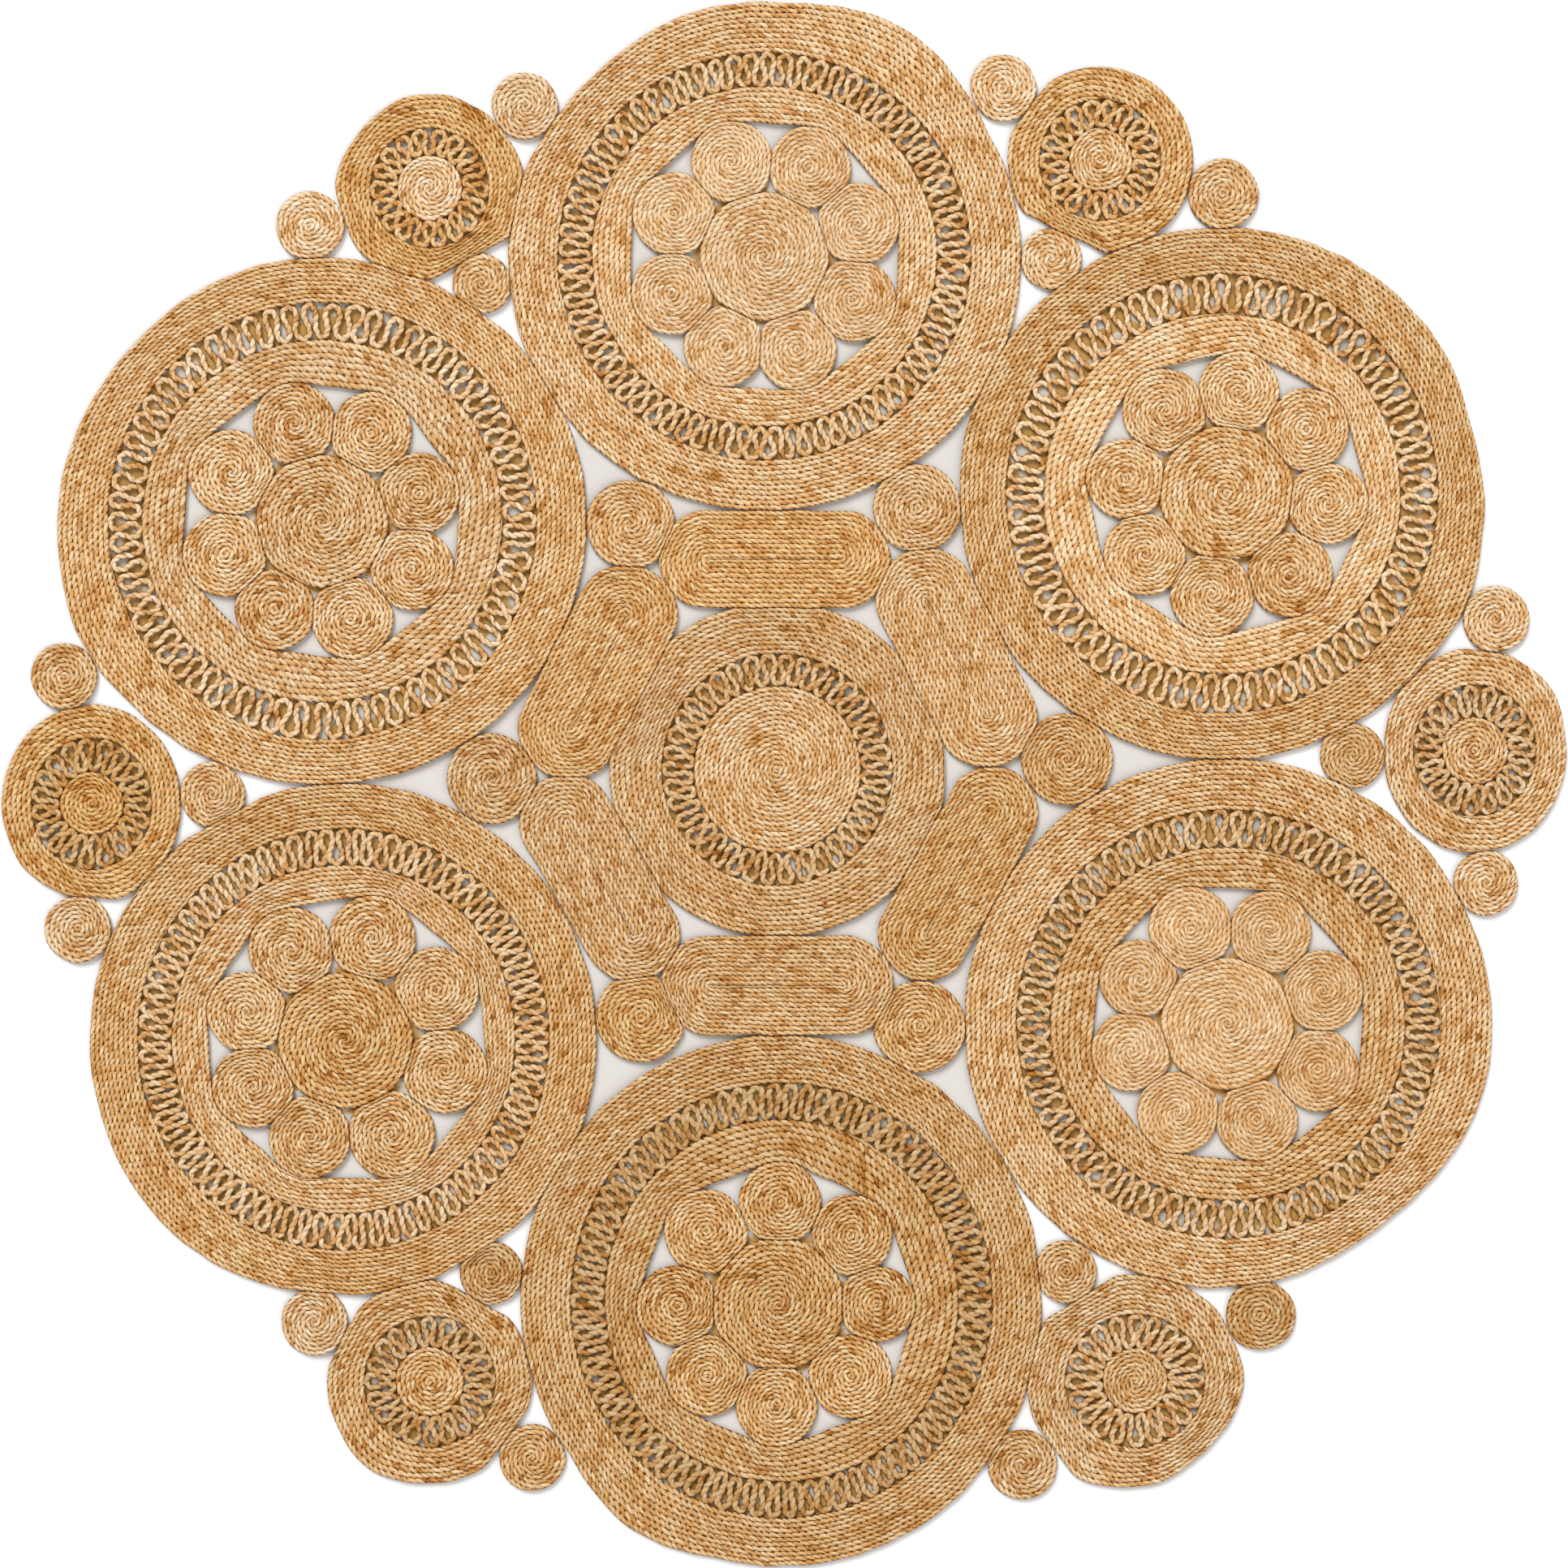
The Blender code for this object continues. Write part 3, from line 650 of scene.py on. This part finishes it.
# How far a closed line is from a middle, in each direction.
def lineToward(line, middle, angles):
    away = line - middle
    direction = np.arctan2(away[:, 1], away[:, 0])
    order = np.argsort(direction)
    return np.interp(
        (angles + np.pi) % (2 * np.pi) - np.pi,
        direction[order],
        np.linalg.norm(away, axis=1)[order],
        period=2 * np.pi,
    )


# A coil wound round a point: it keeps round inside, and takes the outline's flats
# outside.
def coilGrids(outline, middle, radius, start, flip, step):
    count = max(28, int(columnsFor(outline) * step))
    angles = turnedAngles(count, start, flip)
    reach = lineToward(outline, middle, angles)
    outer = middle + raysOf(angles) * reach[:, None]
    meanOuter = middle + raysOf(angles) * min(radius, np.median(reach))
    turns = max(4, round(radius / cord["pitch"]))
    inner = np.tile(middle, (count, 1))
    return woundGrids(outer, inner, turns, True, meanOuter)


# A band between two closed lines, matched by their direction from the middle.
def bandGrids(outline, innerLine, middle, start, flip, turns=None):
    angles = turnedAngles(columnsFor(outline), start, flip)
    outer, inner = (
        middle + raysOf(angles) * lineToward(line, middle, angles)[:, None]
        for line in (outline, innerLine)
    )
    if turns is None:
        width = np.linalg.norm(outer - inner, axis=1).mean()
        turns = round(width / cord["pitch"])
    return woundGrids(outer, inner, turns, False, outer)


# An oval wound round a straight start. Its evenly spaced points go from one tip along
# one side to the other tip, and back as the mirror of that, so both sides meet on the
# start: distance d along a side is at (reach + r cos a, r sin a), with a = d / r, then
# on the straight, then round the other tip.
def ovalGrids(shape, lines, start, flip):
    radius = shape["radii"][0]
    span = shape["end"] - shape["start"]
    length = np.linalg.norm(span)
    turn = radius * np.pi / 2
    half = int((2 * turn + length) / cord["step"])
    distance = np.arange(half + 1) / half * (2 * turn + length)
    angle = np.minimum(distance, turn) + np.maximum(distance - turn - length, 0)
    angle = np.concatenate([angle, -angle[-2:0:-1]]) / radius
    share = 1 - np.clip((distance - turn) / length, 0, 1)
    share = np.concatenate([share, share[-2:0:-1]])
    ahead = span / length
    aside = np.array([-ahead[1], ahead[0]])
    ray = np.cos(angle)[:, None] * ahead + np.sin(angle)[:, None] * aside
    inner = shape["start"] + share[:, None] * span
    inner, ray = (np.roll(a, int(start * len(a)), axis=0) for a in (inner, ray))
    if flip:
        inner, ray = inner[::-1], ray[::-1]
    meanOuter = inner + ray * radius
    outer = pressed(meanOuter, lines)
    return woundGrids(outer, inner, round(radius / cord["pitch"]), True, meanOuter), outer




# Noise scales are per metre, or, where there are three, per step of each coordinate.
jute = {
    "ramp": (  # tone, colour: brown, orange, golden, tan, pale
        (0.02, (0.170, 0.070, 0.020)),
        (0.24, (0.400, 0.178, 0.048)),
        (0.42, (0.530, 0.298, 0.118)),
        (0.60, (0.590, 0.375, 0.182)),
        (0.90, (0.660, 0.485, 0.290)),
    ),
    "fleck": (0.170, 0.070, 0.020),
    # painted shade: the dark brown of the slits between grains
    "slitShade": (0.11, 0.045, 0.012),
    "roughness": 0.80,
    "specular": 0.10,
    "lay": 0.0085,  # from one strand to the next along the cord
    "slant": 1.22,  # how many lays a strand moves on while it crosses the cord
    "strandDepth": 0.0013,
    "waver": (110.0, 0.42),  # of the rows: noise scale, turns
    "sway": ((26.0, 1.0, 1.0), 2.6),  # of the strands: noise scales, lays
    "tone": 0.56,
    "grainTone": 0.44,  # how far the tone changes from grain to grain
    "coilTone": 0.34,  # and from petal to petal
    "strandTone": ((34.0, 1.0, 0.9), 1.30),  # noise scales, share in the tone
    "patchTone": (13.0, 0.35),
    "spotTone": (75.0, 0.20),
    "fibreTone": ((9.0, 2.2, 1.0), 0.9),
    "threads": (21.0, 4.0, 1.0),
    "specks": 620.0,
    "clouds": 38.0,
    "lumps": 170.0,
    "flecks": (85.0, 1.3, 1.7),
    # painted shade of the depths between cords
    "paintedShadeHeights": (0.0025, 0.0068),  # heights between which light fades
}
coilStep = 40  # turns between the numbers of two coils that share a piece


# A shader's nodes, with a short call for each kind. Values are numbers or sockets.
class Graph:
    def __init__(self, tree):
        self.tree = tree

    def feed(self, socket, value):
        if isinstance(value, bpy.types.NodeSocket):
            self.tree.links.new(value, socket)
        else:
            socket.default_value = value

    def add(self, kind, *values, **settings):
        node = self.tree.nodes.new("ShaderNode" + kind)
        for setting, value in settings.items():
            setattr(node, setting, value)
        for socket, value in zip(node.inputs, values):
            self.feed(socket, value)
        return node

    def math(self, operation, *values, clamp=False):
        return self.add("Math", *values, operation=operation, use_clamp=clamp).outputs[0]

    def times(self, a, b):
        return self.math("MULTIPLY", a, b)

    # value * slope + start
    def line(self, value, slope, start, clamp=False):
        return self.math("MULTIPLY_ADD", value, slope, start, clamp=clamp)

    # from 0 at low to 1 at high
    def ramp(self, value, low, high):
        return self.add("MapRange", value, low, high, interpolation_type="SMOOTHSTEP").outputs[0]

    def mix(self, factor, a, b):
        node = self.add("Mix", factor, data_type="RGBA")
        for socket, color in zip(node.inputs[6:8], (a, b)):
            self.feed(socket, (*color, 1) if isinstance(color, tuple) else color)
        return node.outputs[2]

    def vector(self, x, y, z=0.0):
        return self.add("CombineXYZ", x, y, z).outputs[0]

    def noise(self, vector, scale, detail=2.0):
        node = self.add("TexNoise", vector)
        self.feed(node.inputs["Scale"], scale)
        self.feed(node.inputs["Detail"], detail)
        return node.outputs[0]

    def stretched(self, x, y, z, scales, detail=2.0):
        scaled = [self.times(value, scale) for value, scale in zip((x, y, z), scales)]
        return self.noise(self.vector(*scaled), 1.0, detail)

    # a random value, 0 to 1, for each pair of numbers
    def draw(self, x, y, dimensions):
        node = self.add("TexWhiteNoise", self.vector(x, y), noise_dimensions=dimensions)
        return node.outputs["Value"]


# Twisted jute seen along the cord. Each strand shows as a slanted grain, one lay long:
# phase = metres / lay + slant * the strand's way round the cord, and its whole part
# numbers the grain. With a and b from 0 in the grain's middle to 1 at its ends and at
# the cord's edges, painted shade darkens the slits between grains and the cord's edges
# where a ** 2.2 * (0.46 + 0.6 * b squared) + b cubed * (0.33 + 0.85 * a squared) is large,
# and a painted highlight lightens each grain's middle.
def makeCordGroup():
    tree = bpy.data.node_groups.new("twisted jute", "ShaderNodeTree")
    for name in ("Cord Map", "Place"):
        tree.interface.new_socket(name, socket_type="NodeSocketVector")
    for name in "Lay", "Slant", "Sway", "SlitShadeAndContrast", "Lightness", "Warmth", "Seed", "Variety":
        tree.interface.new_socket(name, socket_type="NodeSocketFloat")
    tree.interface.new_socket("Color", in_out="OUTPUT", socket_type="NodeSocketColor")
    tree.interface.new_socket("Height", in_out="OUTPUT", socket_type="NodeSocketFloat")
    graph = Graph(tree)
    math, times, line, ramp = graph.math, graph.times, graph.line, graph.ramp
    noise, stretched = graph.noise, graph.stretched
    given = tree.nodes.new("NodeGroupInput").outputs
    result = tree.nodes.new("NodeGroupOutput").inputs
    place, seed = given["Place"], given["Seed"]

    along, turns, _ = graph.add("SeparateXYZ", given["Cord Map"]).outputs
    scale, size = jute["waver"]
    waver = math("SUBTRACT", noise(place, scale, 1.0), 0.5)
    spiral = line(times(waver, given["Sway"]), size, turns)
    across = math("FRACT", spiral)
    scales, size = jute["sway"]
    sway = times(stretched(along, seed, 0.0, scales), size)
    # the way round the cord, seen from above, is an arc cosine of 1 - 2 * across
    way = math("ARCCOSINE", line(across, -2.0, 1.0))
    way = math("SUBTRACT", math("DIVIDE", way, np.pi), across)
    way = line(way, given["Sway"], across)
    phase = math("DIVIDE", along, given["Lay"])
    phase = line(way, given["Slant"], phase)
    phase = line(sway, given["Sway"], phase)
    grain = math("FLOOR", phase)
    a = math("ABSOLUTE", line(math("FRACT", phase), 2.0, -1.0))
    b = math("ABSOLUTE", line(across, 2.0, -1.0))

    coil = math("FLOOR", math("DIVIDE", turns, coilStep))
    own = math("SUBTRACT", graph.draw(coil, seed, "2D"), 0.5)
    own = times(own, given["Variety"])
    # the two strands of a cord have colours of their own, which change along them
    strand = math("PINGPONG", grain, 1.0)
    # fibres lie along the grain, so their noise is stretched along it
    fibres = stretched(phase, across, seed, jute["fibreTone"][0], 3.0)
    threads = stretched(phase, across, seed, jute["threads"])
    masks = (
        (stretched(along, seed, strand, jute["strandTone"][0], 3.0), "strandTone"),
        (noise(place, jute["patchTone"][0], 3.0), "patchTone"),
        (noise(place, jute["spotTone"][0]), "spotTone"),
        (fibres, "fibreTone"),
    )
    tone = line(graph.draw(grain, seed, "3D"), jute["grainTone"], -jute["grainTone"] / 2)
    tone = line(own, jute["coilTone"], tone)
    for mask, name in masks:
        tone = line(math("SUBTRACT", mask, 0.5), jute[name][1], tone)
    contrast = line(given["SlitShadeAndContrast"], 0.6, 0.4, clamp=True)
    colors = graph.add("ValToRGB", line(tone, contrast, jute["tone"]))
    elements = colors.color_ramp.elements
    while len(elements) < len(jute["ramp"]):
        elements.new(0.5)
    for element, (position, color) in zip(elements, jute["ramp"]):
        element.position = position
        element.color = (*color, 1)

    ends = times(math("POWER", a, 2.2), line(times(b, b), 0.60, 0.46))
    sides = times(math("POWER", b, 3.0), line(times(a, a), 0.85, 0.33))
    edge = math("ADD", ends, sides)
    # painted highlight and shade of each grain's roundness: lighter in its middle, darker at its
    # ends and at the cord's edges
    grainShade = line(times(edge, contrast), -0.28, 1.22)
    # painted shade in the slits, which varies: some slits are pulled tight and shut, and others
    # gape
    lumps = noise(place, jute["lumps"], 1.0)
    slits = times(ramp(edge, 0.45, 1.25), given["SlitShadeAndContrast"])
    slits = math("MULTIPLY", slits, line(lumps, 3.6, -0.85), clamp=True)
    color = graph.mix(slits, colors.outputs[0], jute["slitShade"])
    flecks = ramp(stretched(along, seed, spiral, jute["flecks"]), 0.64, 0.74)
    color = graph.mix(times(flecks, 0.7), color, jute["fleck"])

    # painted shade: low down between the cords the colour is darkened and turned brown
    lit = ramp(graph.add("SeparateXYZ", place).outputs[2], *jute["paintedShadeHeights"])
    rough = math("ADD", threads, noise(place, jute["specks"], 1.0))
    rough = line(rough, 0.62, 0.32)
    rough = line(noise(place, jute["clouds"]), 0.06, rough)
    brightness = times(grainShade, rough)
    brightness = times(brightness, line(own, 0.14, 1.0))
    brightness = times(brightness, line(lit, 0.65, 0.35))
    # warm pieces lose blue, and a little green, and so do darker places: darker fibres, and the
    # painted shade of the grains, slits and depths, which turns brown
    red = graph.add("SeparateXYZ", color).outputs[0]
    light = ramp(times(red, brightness), 0.14, 0.60)
    blue = times(line(given["Warmth"], -0.20, 1.0), line(lit, 0.60, 0.40))
    green = times(line(given["Warmth"], -0.06, 1.0), line(lit, 0.20, 0.80))
    blue = times(blue, line(light, 0.79, 0.25))
    green = times(green, line(light, 0.21, 0.80))
    tint = graph.vector(1.0, green, blue)
    tinted = graph.add("VectorMath", color, tint, operation="MULTIPLY").outputs[0]
    scaled = graph.add("VectorMath", tinted, operation="SCALE")
    graph.feed(scaled.inputs["Scale"], times(brightness, given["Lightness"]))
    graph.feed(result["Color"], scaled.outputs[0])

    height = math("SUBTRACT", 1.0, math("POWER", a, 2.2))
    height = line(fibres, 0.22, height)
    height = line(threads, 0.16, height)
    graph.feed(result["Height"], line(lumps, 1.3, height))
    return tree


cordGroup = makeCordGroup()


# Darker pieces get darker painted shade in their slits, and a wider spread of tone.
def cordMaterial(
    name, tone, seed, lay=jute["lay"], slant=jute["slant"], sway=1.0, variety=0.0, contrast=1.0
):
    lightness, warmth = tone
    made = bpy.data.materials.new(name)
    made.use_nodes = True
    graph = Graph(made.node_tree)
    shader = made.node_tree.nodes["Principled BSDF"].inputs
    shader["Roughness"].default_value = jute["roughness"]
    shader["Specular IOR Level"].default_value = jute["specular"]
    group = made.node_tree.nodes.new("ShaderNodeGroup")
    group.node_tree = cordGroup
    values = {
        "Cord Map": graph.add("UVMap", uv_map="cord").outputs[0],
        "Place": graph.add("TexCoord").outputs["Object"],
        "Lay": lay,
        "Slant": slant,
        "Sway": sway,
        # how dark the painted shade in the slits is, and how far the tone spreads
        "SlitShadeAndContrast": contrast * min(max(2.6 - 1.6 * lightness, 0.7), 1.3),
        "Lightness": lightness,
        "Warmth": warmth,
        "Seed": seed,
        "Variety": variety,
    }
    for socket, value in values.items():
        graph.feed(group.inputs[socket], value)
    bump = graph.add("Bump", 1.0, jute["strandDepth"])
    graph.feed(bump.inputs["Height"], group.outputs["Height"])
    graph.feed(shader["Base Color"], group.outputs["Color"])
    graph.feed(shader["Normal"], bump.outputs[0])
    return made


random = np.random.default_rng(24)
shapes = listShapes()


def randomStart():
    return random.uniform(0, 2 * np.pi), random.random() < 0.5


def addCoil(name, kind, outline, middle, radius, tone, seed, node=None, spread=None, **look):
    grids = coilGrids(outline, np.array(middle), radius, *randomStart(), columnShare[kind])
    material = cordMaterial(name, tone, seed, **look)
    piece = makePiece(name + "_cord", grids, material, node or name)
    area, across = areaOf(outline), 2 * (spread or radius)
    min(area, across**2)


def addBand(node, outline, hole, middle, tone, seed, extra=(), turns=None, **look):
    grids = bandGrids(outline, hole, middle, *randomStart(), turns)
    piece = makePiece(node + "_cord", grids, cordMaterial(node, tone, seed, **look), node)
    length = (lengthOf(outline) + lengthOf(hole)) / 2
    area = areaOf(outline) - areaOf(hole)


# One looped ring. Its upper and its lower half are two grids, for OFBake.
def addLoops(name, node, place, innerRadii, seed):
    radius = place.get("loopCord", loopCord)
    line = loopLine(
        place["middle"], place["loops"], innerRadii, place["loopCount"], radius, random
    )
    points, runU, acrossV, lay = tubeGrid(line, radius)
    half = loops["sides"] // 2
    grids = []
    for side, onTop in ((slice(0, half + 1), True), (slice(half, None), False)):
        cornerU, cornerV = gridCorners(runU[side]), gridCorners(acrossV[side])
        grids.append((points[side], cornerU, cornerV, onTop))
    material = cordMaterial(name, place["tones"]["loops"], seed, lay, slant=1.0, sway=0.0)
    return makePiece(name, grids, material, node)


# The petals are one piece. Their shapes and outlines are returned.
def addPetals(node, m, core, coreShape, seed):
    petals = []
    for degrees, radius in zip(m["petalAngles"], m["petalRadii"]):
        distance = m["coreRadius"] + radius - petalPress
        place = core + distance * raysOf(np.radians(degrees))
        radius += petalSwell
        petals.append(makeShape(place, (radius, radius), largeGive))
    grids, outlines = [], []
    for i, petal in enumerate(petals):
        neighbours = (petals[i - 1], petals[(i + 1) % len(petals)], coreShape)
        lines = [pressLine(petal, other) for other in neighbours]
        middle, radii = petal["start"], petal["radii"]
        outline = pressed(ringPoints(middle, radii), lines)
        outlines.append(outline)
        wound = coilGrids(outline, middle, radii[0], *randomStart(), columnShare["petal"])
        # each petal's turns are numbered apart, so that its colours are its own
        grids += [(p, u + 0.37 * i, v + coilStep * i, top) for p, u, v, top in wound]
    material = cordMaterial(
        node, m["tones"]["petals"], seed, variety=petalVariety, contrast=m["contrast"]
    )
    piece = makePiece(node + "_cord", grids, material, node)
    size = np.ptp(np.concatenate(outlines), axis=0).max()
    petalArea = sum(areaOf(outline) for outline in outlines)
    return petals, outlines


def addMedallion(name, seed):
    m = medallions[name]
    middle, tones = np.array(m["middle"]), m["tones"]
    whole = "medallion_" + name
    node = whole + "_loop_ring"
    ring = addLoops(node + "_cord", node, m, m["band"], seed)
    outline, hole = outlineOf(whole), ringPoints(middle, m["loops"])
    addBand(
        whole + "_border", outline, hole, middle, tones["border"], seed, [ring],
        contrast=borderContrast,
    )
    core = middle + np.array(m["coreShift"])
    spread = m["coreRadius"] + coreSwell
    coreShape = makeShape(core, (spread, spread), coreGive)
    petals, outlines = addPetals(whole + "_petals", m, core, coreShape, seed + 0.3)
    lines = [pressLine(coreShape, petal) for petal in petals]
    outline = pressed(ringPoints(core, coreShape["radii"]), lines)
    addCoil(
        whole + "_core", "core", outline, core, m["coreRadius"], tones["core"], seed + 0.6,
        spread=spread, contrast=m["contrast"],
    )
    node, outline = whole + "_inner_band", ringPoints(middle, m["band"])
    hole = hullLine(np.concatenate(outlines), core)
    addBand(node, outline, hole, core, tones["band"], seed + 0.9, turns=innerBandTurns)


def addCentre(seed):
    middle, tones = np.array(centrePiece["middle"]), centrePiece["tones"]
    radius = centrePiece["coilRadius"]
    node = "centre_loop_ring"
    ring = addLoops(node + "_cord", node, centrePiece, (radius, radius), seed)
    outline, hole = outlineOf("centre"), ringPoints(middle, centrePiece["loops"])
    addBand("centre_band", outline, hole, middle, tones["band"], seed, [ring])
    outline = ringPoints(middle, (radius, radius))
    addCoil("centre_coil", "centre", outline, middle, radius, tones["coil"], seed)


def addOval(name, seed):
    x, y, halfLength, halfWidth, lean, tone = ovals[name]
    node = "oval_" + name
    start, flip = random.uniform(0, 1), random.random() < 0.5
    grids, outline = ovalGrids(shapes[node], pressLinesOf(node), start, flip)
    piece = makePiece(node + "_cord", grids, cordMaterial(node, tone, seed), node)
    areaOf(outline)


def addGapCoil(name, seed):
    x, y, radius, tone = gapCoils[name]
    addCoil("gap_coil_" + name, "gap", outlineOf("gap_" + name), (x, y), radius, tone, seed)


def addRosette(name, seed):
    r = rosettes[name]
    middle, tones, radius = np.array(r["middle"]), r["tones"], r["coreRadius"]
    whole = "rosette_" + name
    node = whole + "_core"
    ring = addLoops(whole + "_loops_cord", node, r, (radius, radius), seed)
    outline = ringPoints(middle, (radius, radius))
    addCoil(node, "rosette", outline, middle, radius, tones["core"], seed + 0.2)
    node = whole + "_band"
    outline, hole = outlineOf(whole), ringPoints(middle, r["loops"])
    addBand(node, outline, hole, middle, tones["band"], seed + 0.4, [ring])
    for number, (x, y, radius) in enumerate(r["rimCoils"]):
        outline = outlineOf(f"rim_{name}_{number}")
        label, tone = f"{whole}_rim_coil_{number + 1}", r["rimTones"][number]
        addCoil(label, "rim", outline, (x, y), radius, tone, seed + number, node)


for number, name in enumerate(medallions):
    addMedallion(name, 10.0 * number + 3)
    print("medallion", name, "wound")
addCentre(97.0)
for number, name in enumerate(ovals):
    addOval(name, 110.0 + 7 * number)
for number, name in enumerate(gapCoils):
    addGapCoil(name, 160.0 + 7 * number)
print("centre, ovals and gap coils wound")
for number, name in enumerate(rosettes):
    addRosette(name, 210.0 + 9 * number)
print("rosettes wound")

# The floor is white round the rug. Seen through the rug it is grey, and among the loops
# and round the cores it has painted shade, brown or grey, partly the brown of loose fibre.
studio = {
    "floorSize": 12.0,
    "floorRoughness": 0.9,
    "floorColor": (0.79, 0.80, 0.82),
    "underColor": (0.557, 0.543, 0.522),  # of the floor seen through the rug
    # painted shade, with the brown of loose fibre, on the floor in the loop holes and round the
    # cores
    "loopHoleShadeAndFibre": (0.45, 0.25, 0.065),  # of the floor in most holes among the loops
    "openColor": (0.56, 0.52, 0.46),  # of the floor in the others
    "openScale": 42.0,
    "underRadius": 0.49,  # of the grey disc in the middle
    "underInset": 0.01,  # of the grey discs under the medallions
    "underFade": 0.02,
    "ringFade": (0.016, 0.008),  # past a ring's edges, where it ends and is full
    # painted shade in a ring round each core
    "coreShadeRing": 0.012,  # width of the ring round a core
    "worldColor": (1.0, 0.93, 0.83),
    "worldStrength": 0.42,
    # strength, degrees across, then degrees from straight above, about X and about Y
    "lamps": ((3.15, 30, (-40, -24)), (1.65, 60, (32, 40))),
}


# Every disc of the floor that is grey: middle, radius.
def underDiscs():
    discs = [((0, 0), studio["underRadius"])]
    for m in medallions.values():
        discs.append((m["middle"], min(m["rim"]) - studio["underInset"]))
    return discs


# Every ring of the floor with painted shade, brown or grey: middle, inner radius, outer radius.
def paintedShadeRings():
    rings = []
    for m in medallions.values():
        rings.append((m["middle"], np.mean(m["band"]), np.mean(m["loops"])))
        core = tuple(np.add(m["middle"], m["coreShift"]))
        rings.append((core, m["coreRadius"] - studio["coreShadeRing"], m["coreRadius"]))
    c = centrePiece
    rings.append((c["middle"], c["coilRadius"], np.mean(c["loops"])))
    for r in rosettes.values():
        rings.append((r["middle"], r["coreRadius"], np.mean(r["loops"])))
    return rings


def makeFloor():
    half = studio["floorSize"] / 2
    corners = [(-half, -half, 0), (half, -half, 0), (half, half, 0), (-half, half, 0)]
    mesh = bpy.data.meshes.new("floor")
    mesh.from_pydata(corners, [], [(0, 1, 2, 3)])
    material = bpy.data.materials.new("floor")
    material.use_nodes = True
    graph = Graph(material.node_tree)
    shader = material.node_tree.nodes["Principled BSDF"].inputs
    shader["Roughness"].default_value = studio["floorRoughness"]
    place = graph.add("TexCoord").outputs["Object"]

    def distanceTo(middle):
        node = graph.add("VectorMath", place, (*middle, 0), operation="DISTANCE")
        return node.outputs["Value"]

    under = 0.0
    for middle, radius in underDiscs():
        near = graph.ramp(distanceTo(middle), radius, radius - studio["underFade"])
        under = graph.math("MAXIMUM", near, under)
    # painted shade on the floor in the loop rings and round the cores
    among = 0.0
    for middle, inner, outer in paintedShadeRings():
        off = graph.math("SUBTRACT", distanceTo(middle), (inner + outer) / 2)
        none, full = ((outer - inner) / 2 + fade for fade in studio["ringFade"])
        near = graph.ramp(graph.math("ABSOLUTE", off), none, full)
        among = graph.math("MAXIMUM", near, among)
    # where the floor shows bare the painted shade is grey, elsewhere brown with loose fibre
    bare = graph.ramp(graph.noise(place, studio["openScale"], 1.0), 0.53, 0.60)
    holes = graph.mix(bare, studio["loopHoleShadeAndFibre"], studio["openColor"])
    color = graph.mix(under, studio["floorColor"], studio["underColor"])
    graph.feed(shader["Base Color"], graph.mix(among, color, holes))
    mesh.materials.append(material)
    addObject("floor", mesh)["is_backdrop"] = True


def makeLight():
    world = bpy.data.worlds.new("studio")
    world.use_nodes = True
    background = world.node_tree.nodes["Background"]
    background.inputs["Color"].default_value = (*studio["worldColor"], 1)
    background.inputs["Strength"].default_value = studio["worldStrength"]
    bpy.context.scene.world = world
    for strength, across, tilt in studio["lamps"]:
        data = bpy.data.lights.new("lamp", "SUN")
        data.energy = strength
        data.angle = np.radians(across)
        addObject("lamp", data).rotation_euler = (*np.radians(tilt), 0)
    bpy.context.scene.view_settings.view_transform = "Standard"


makeFloor()
makeLight()
print("floor and light made")

sizes = {"cad": cadBounds, "visual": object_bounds()}
{key: np.array(value).tolist() for key, value in sizes.items()}
meshes = [piece.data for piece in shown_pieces() if piece.type == "MESH"]
print("triangles, about", sum(len(face.vertices) - 2 for mesh in meshes for face in mesh.polygons))
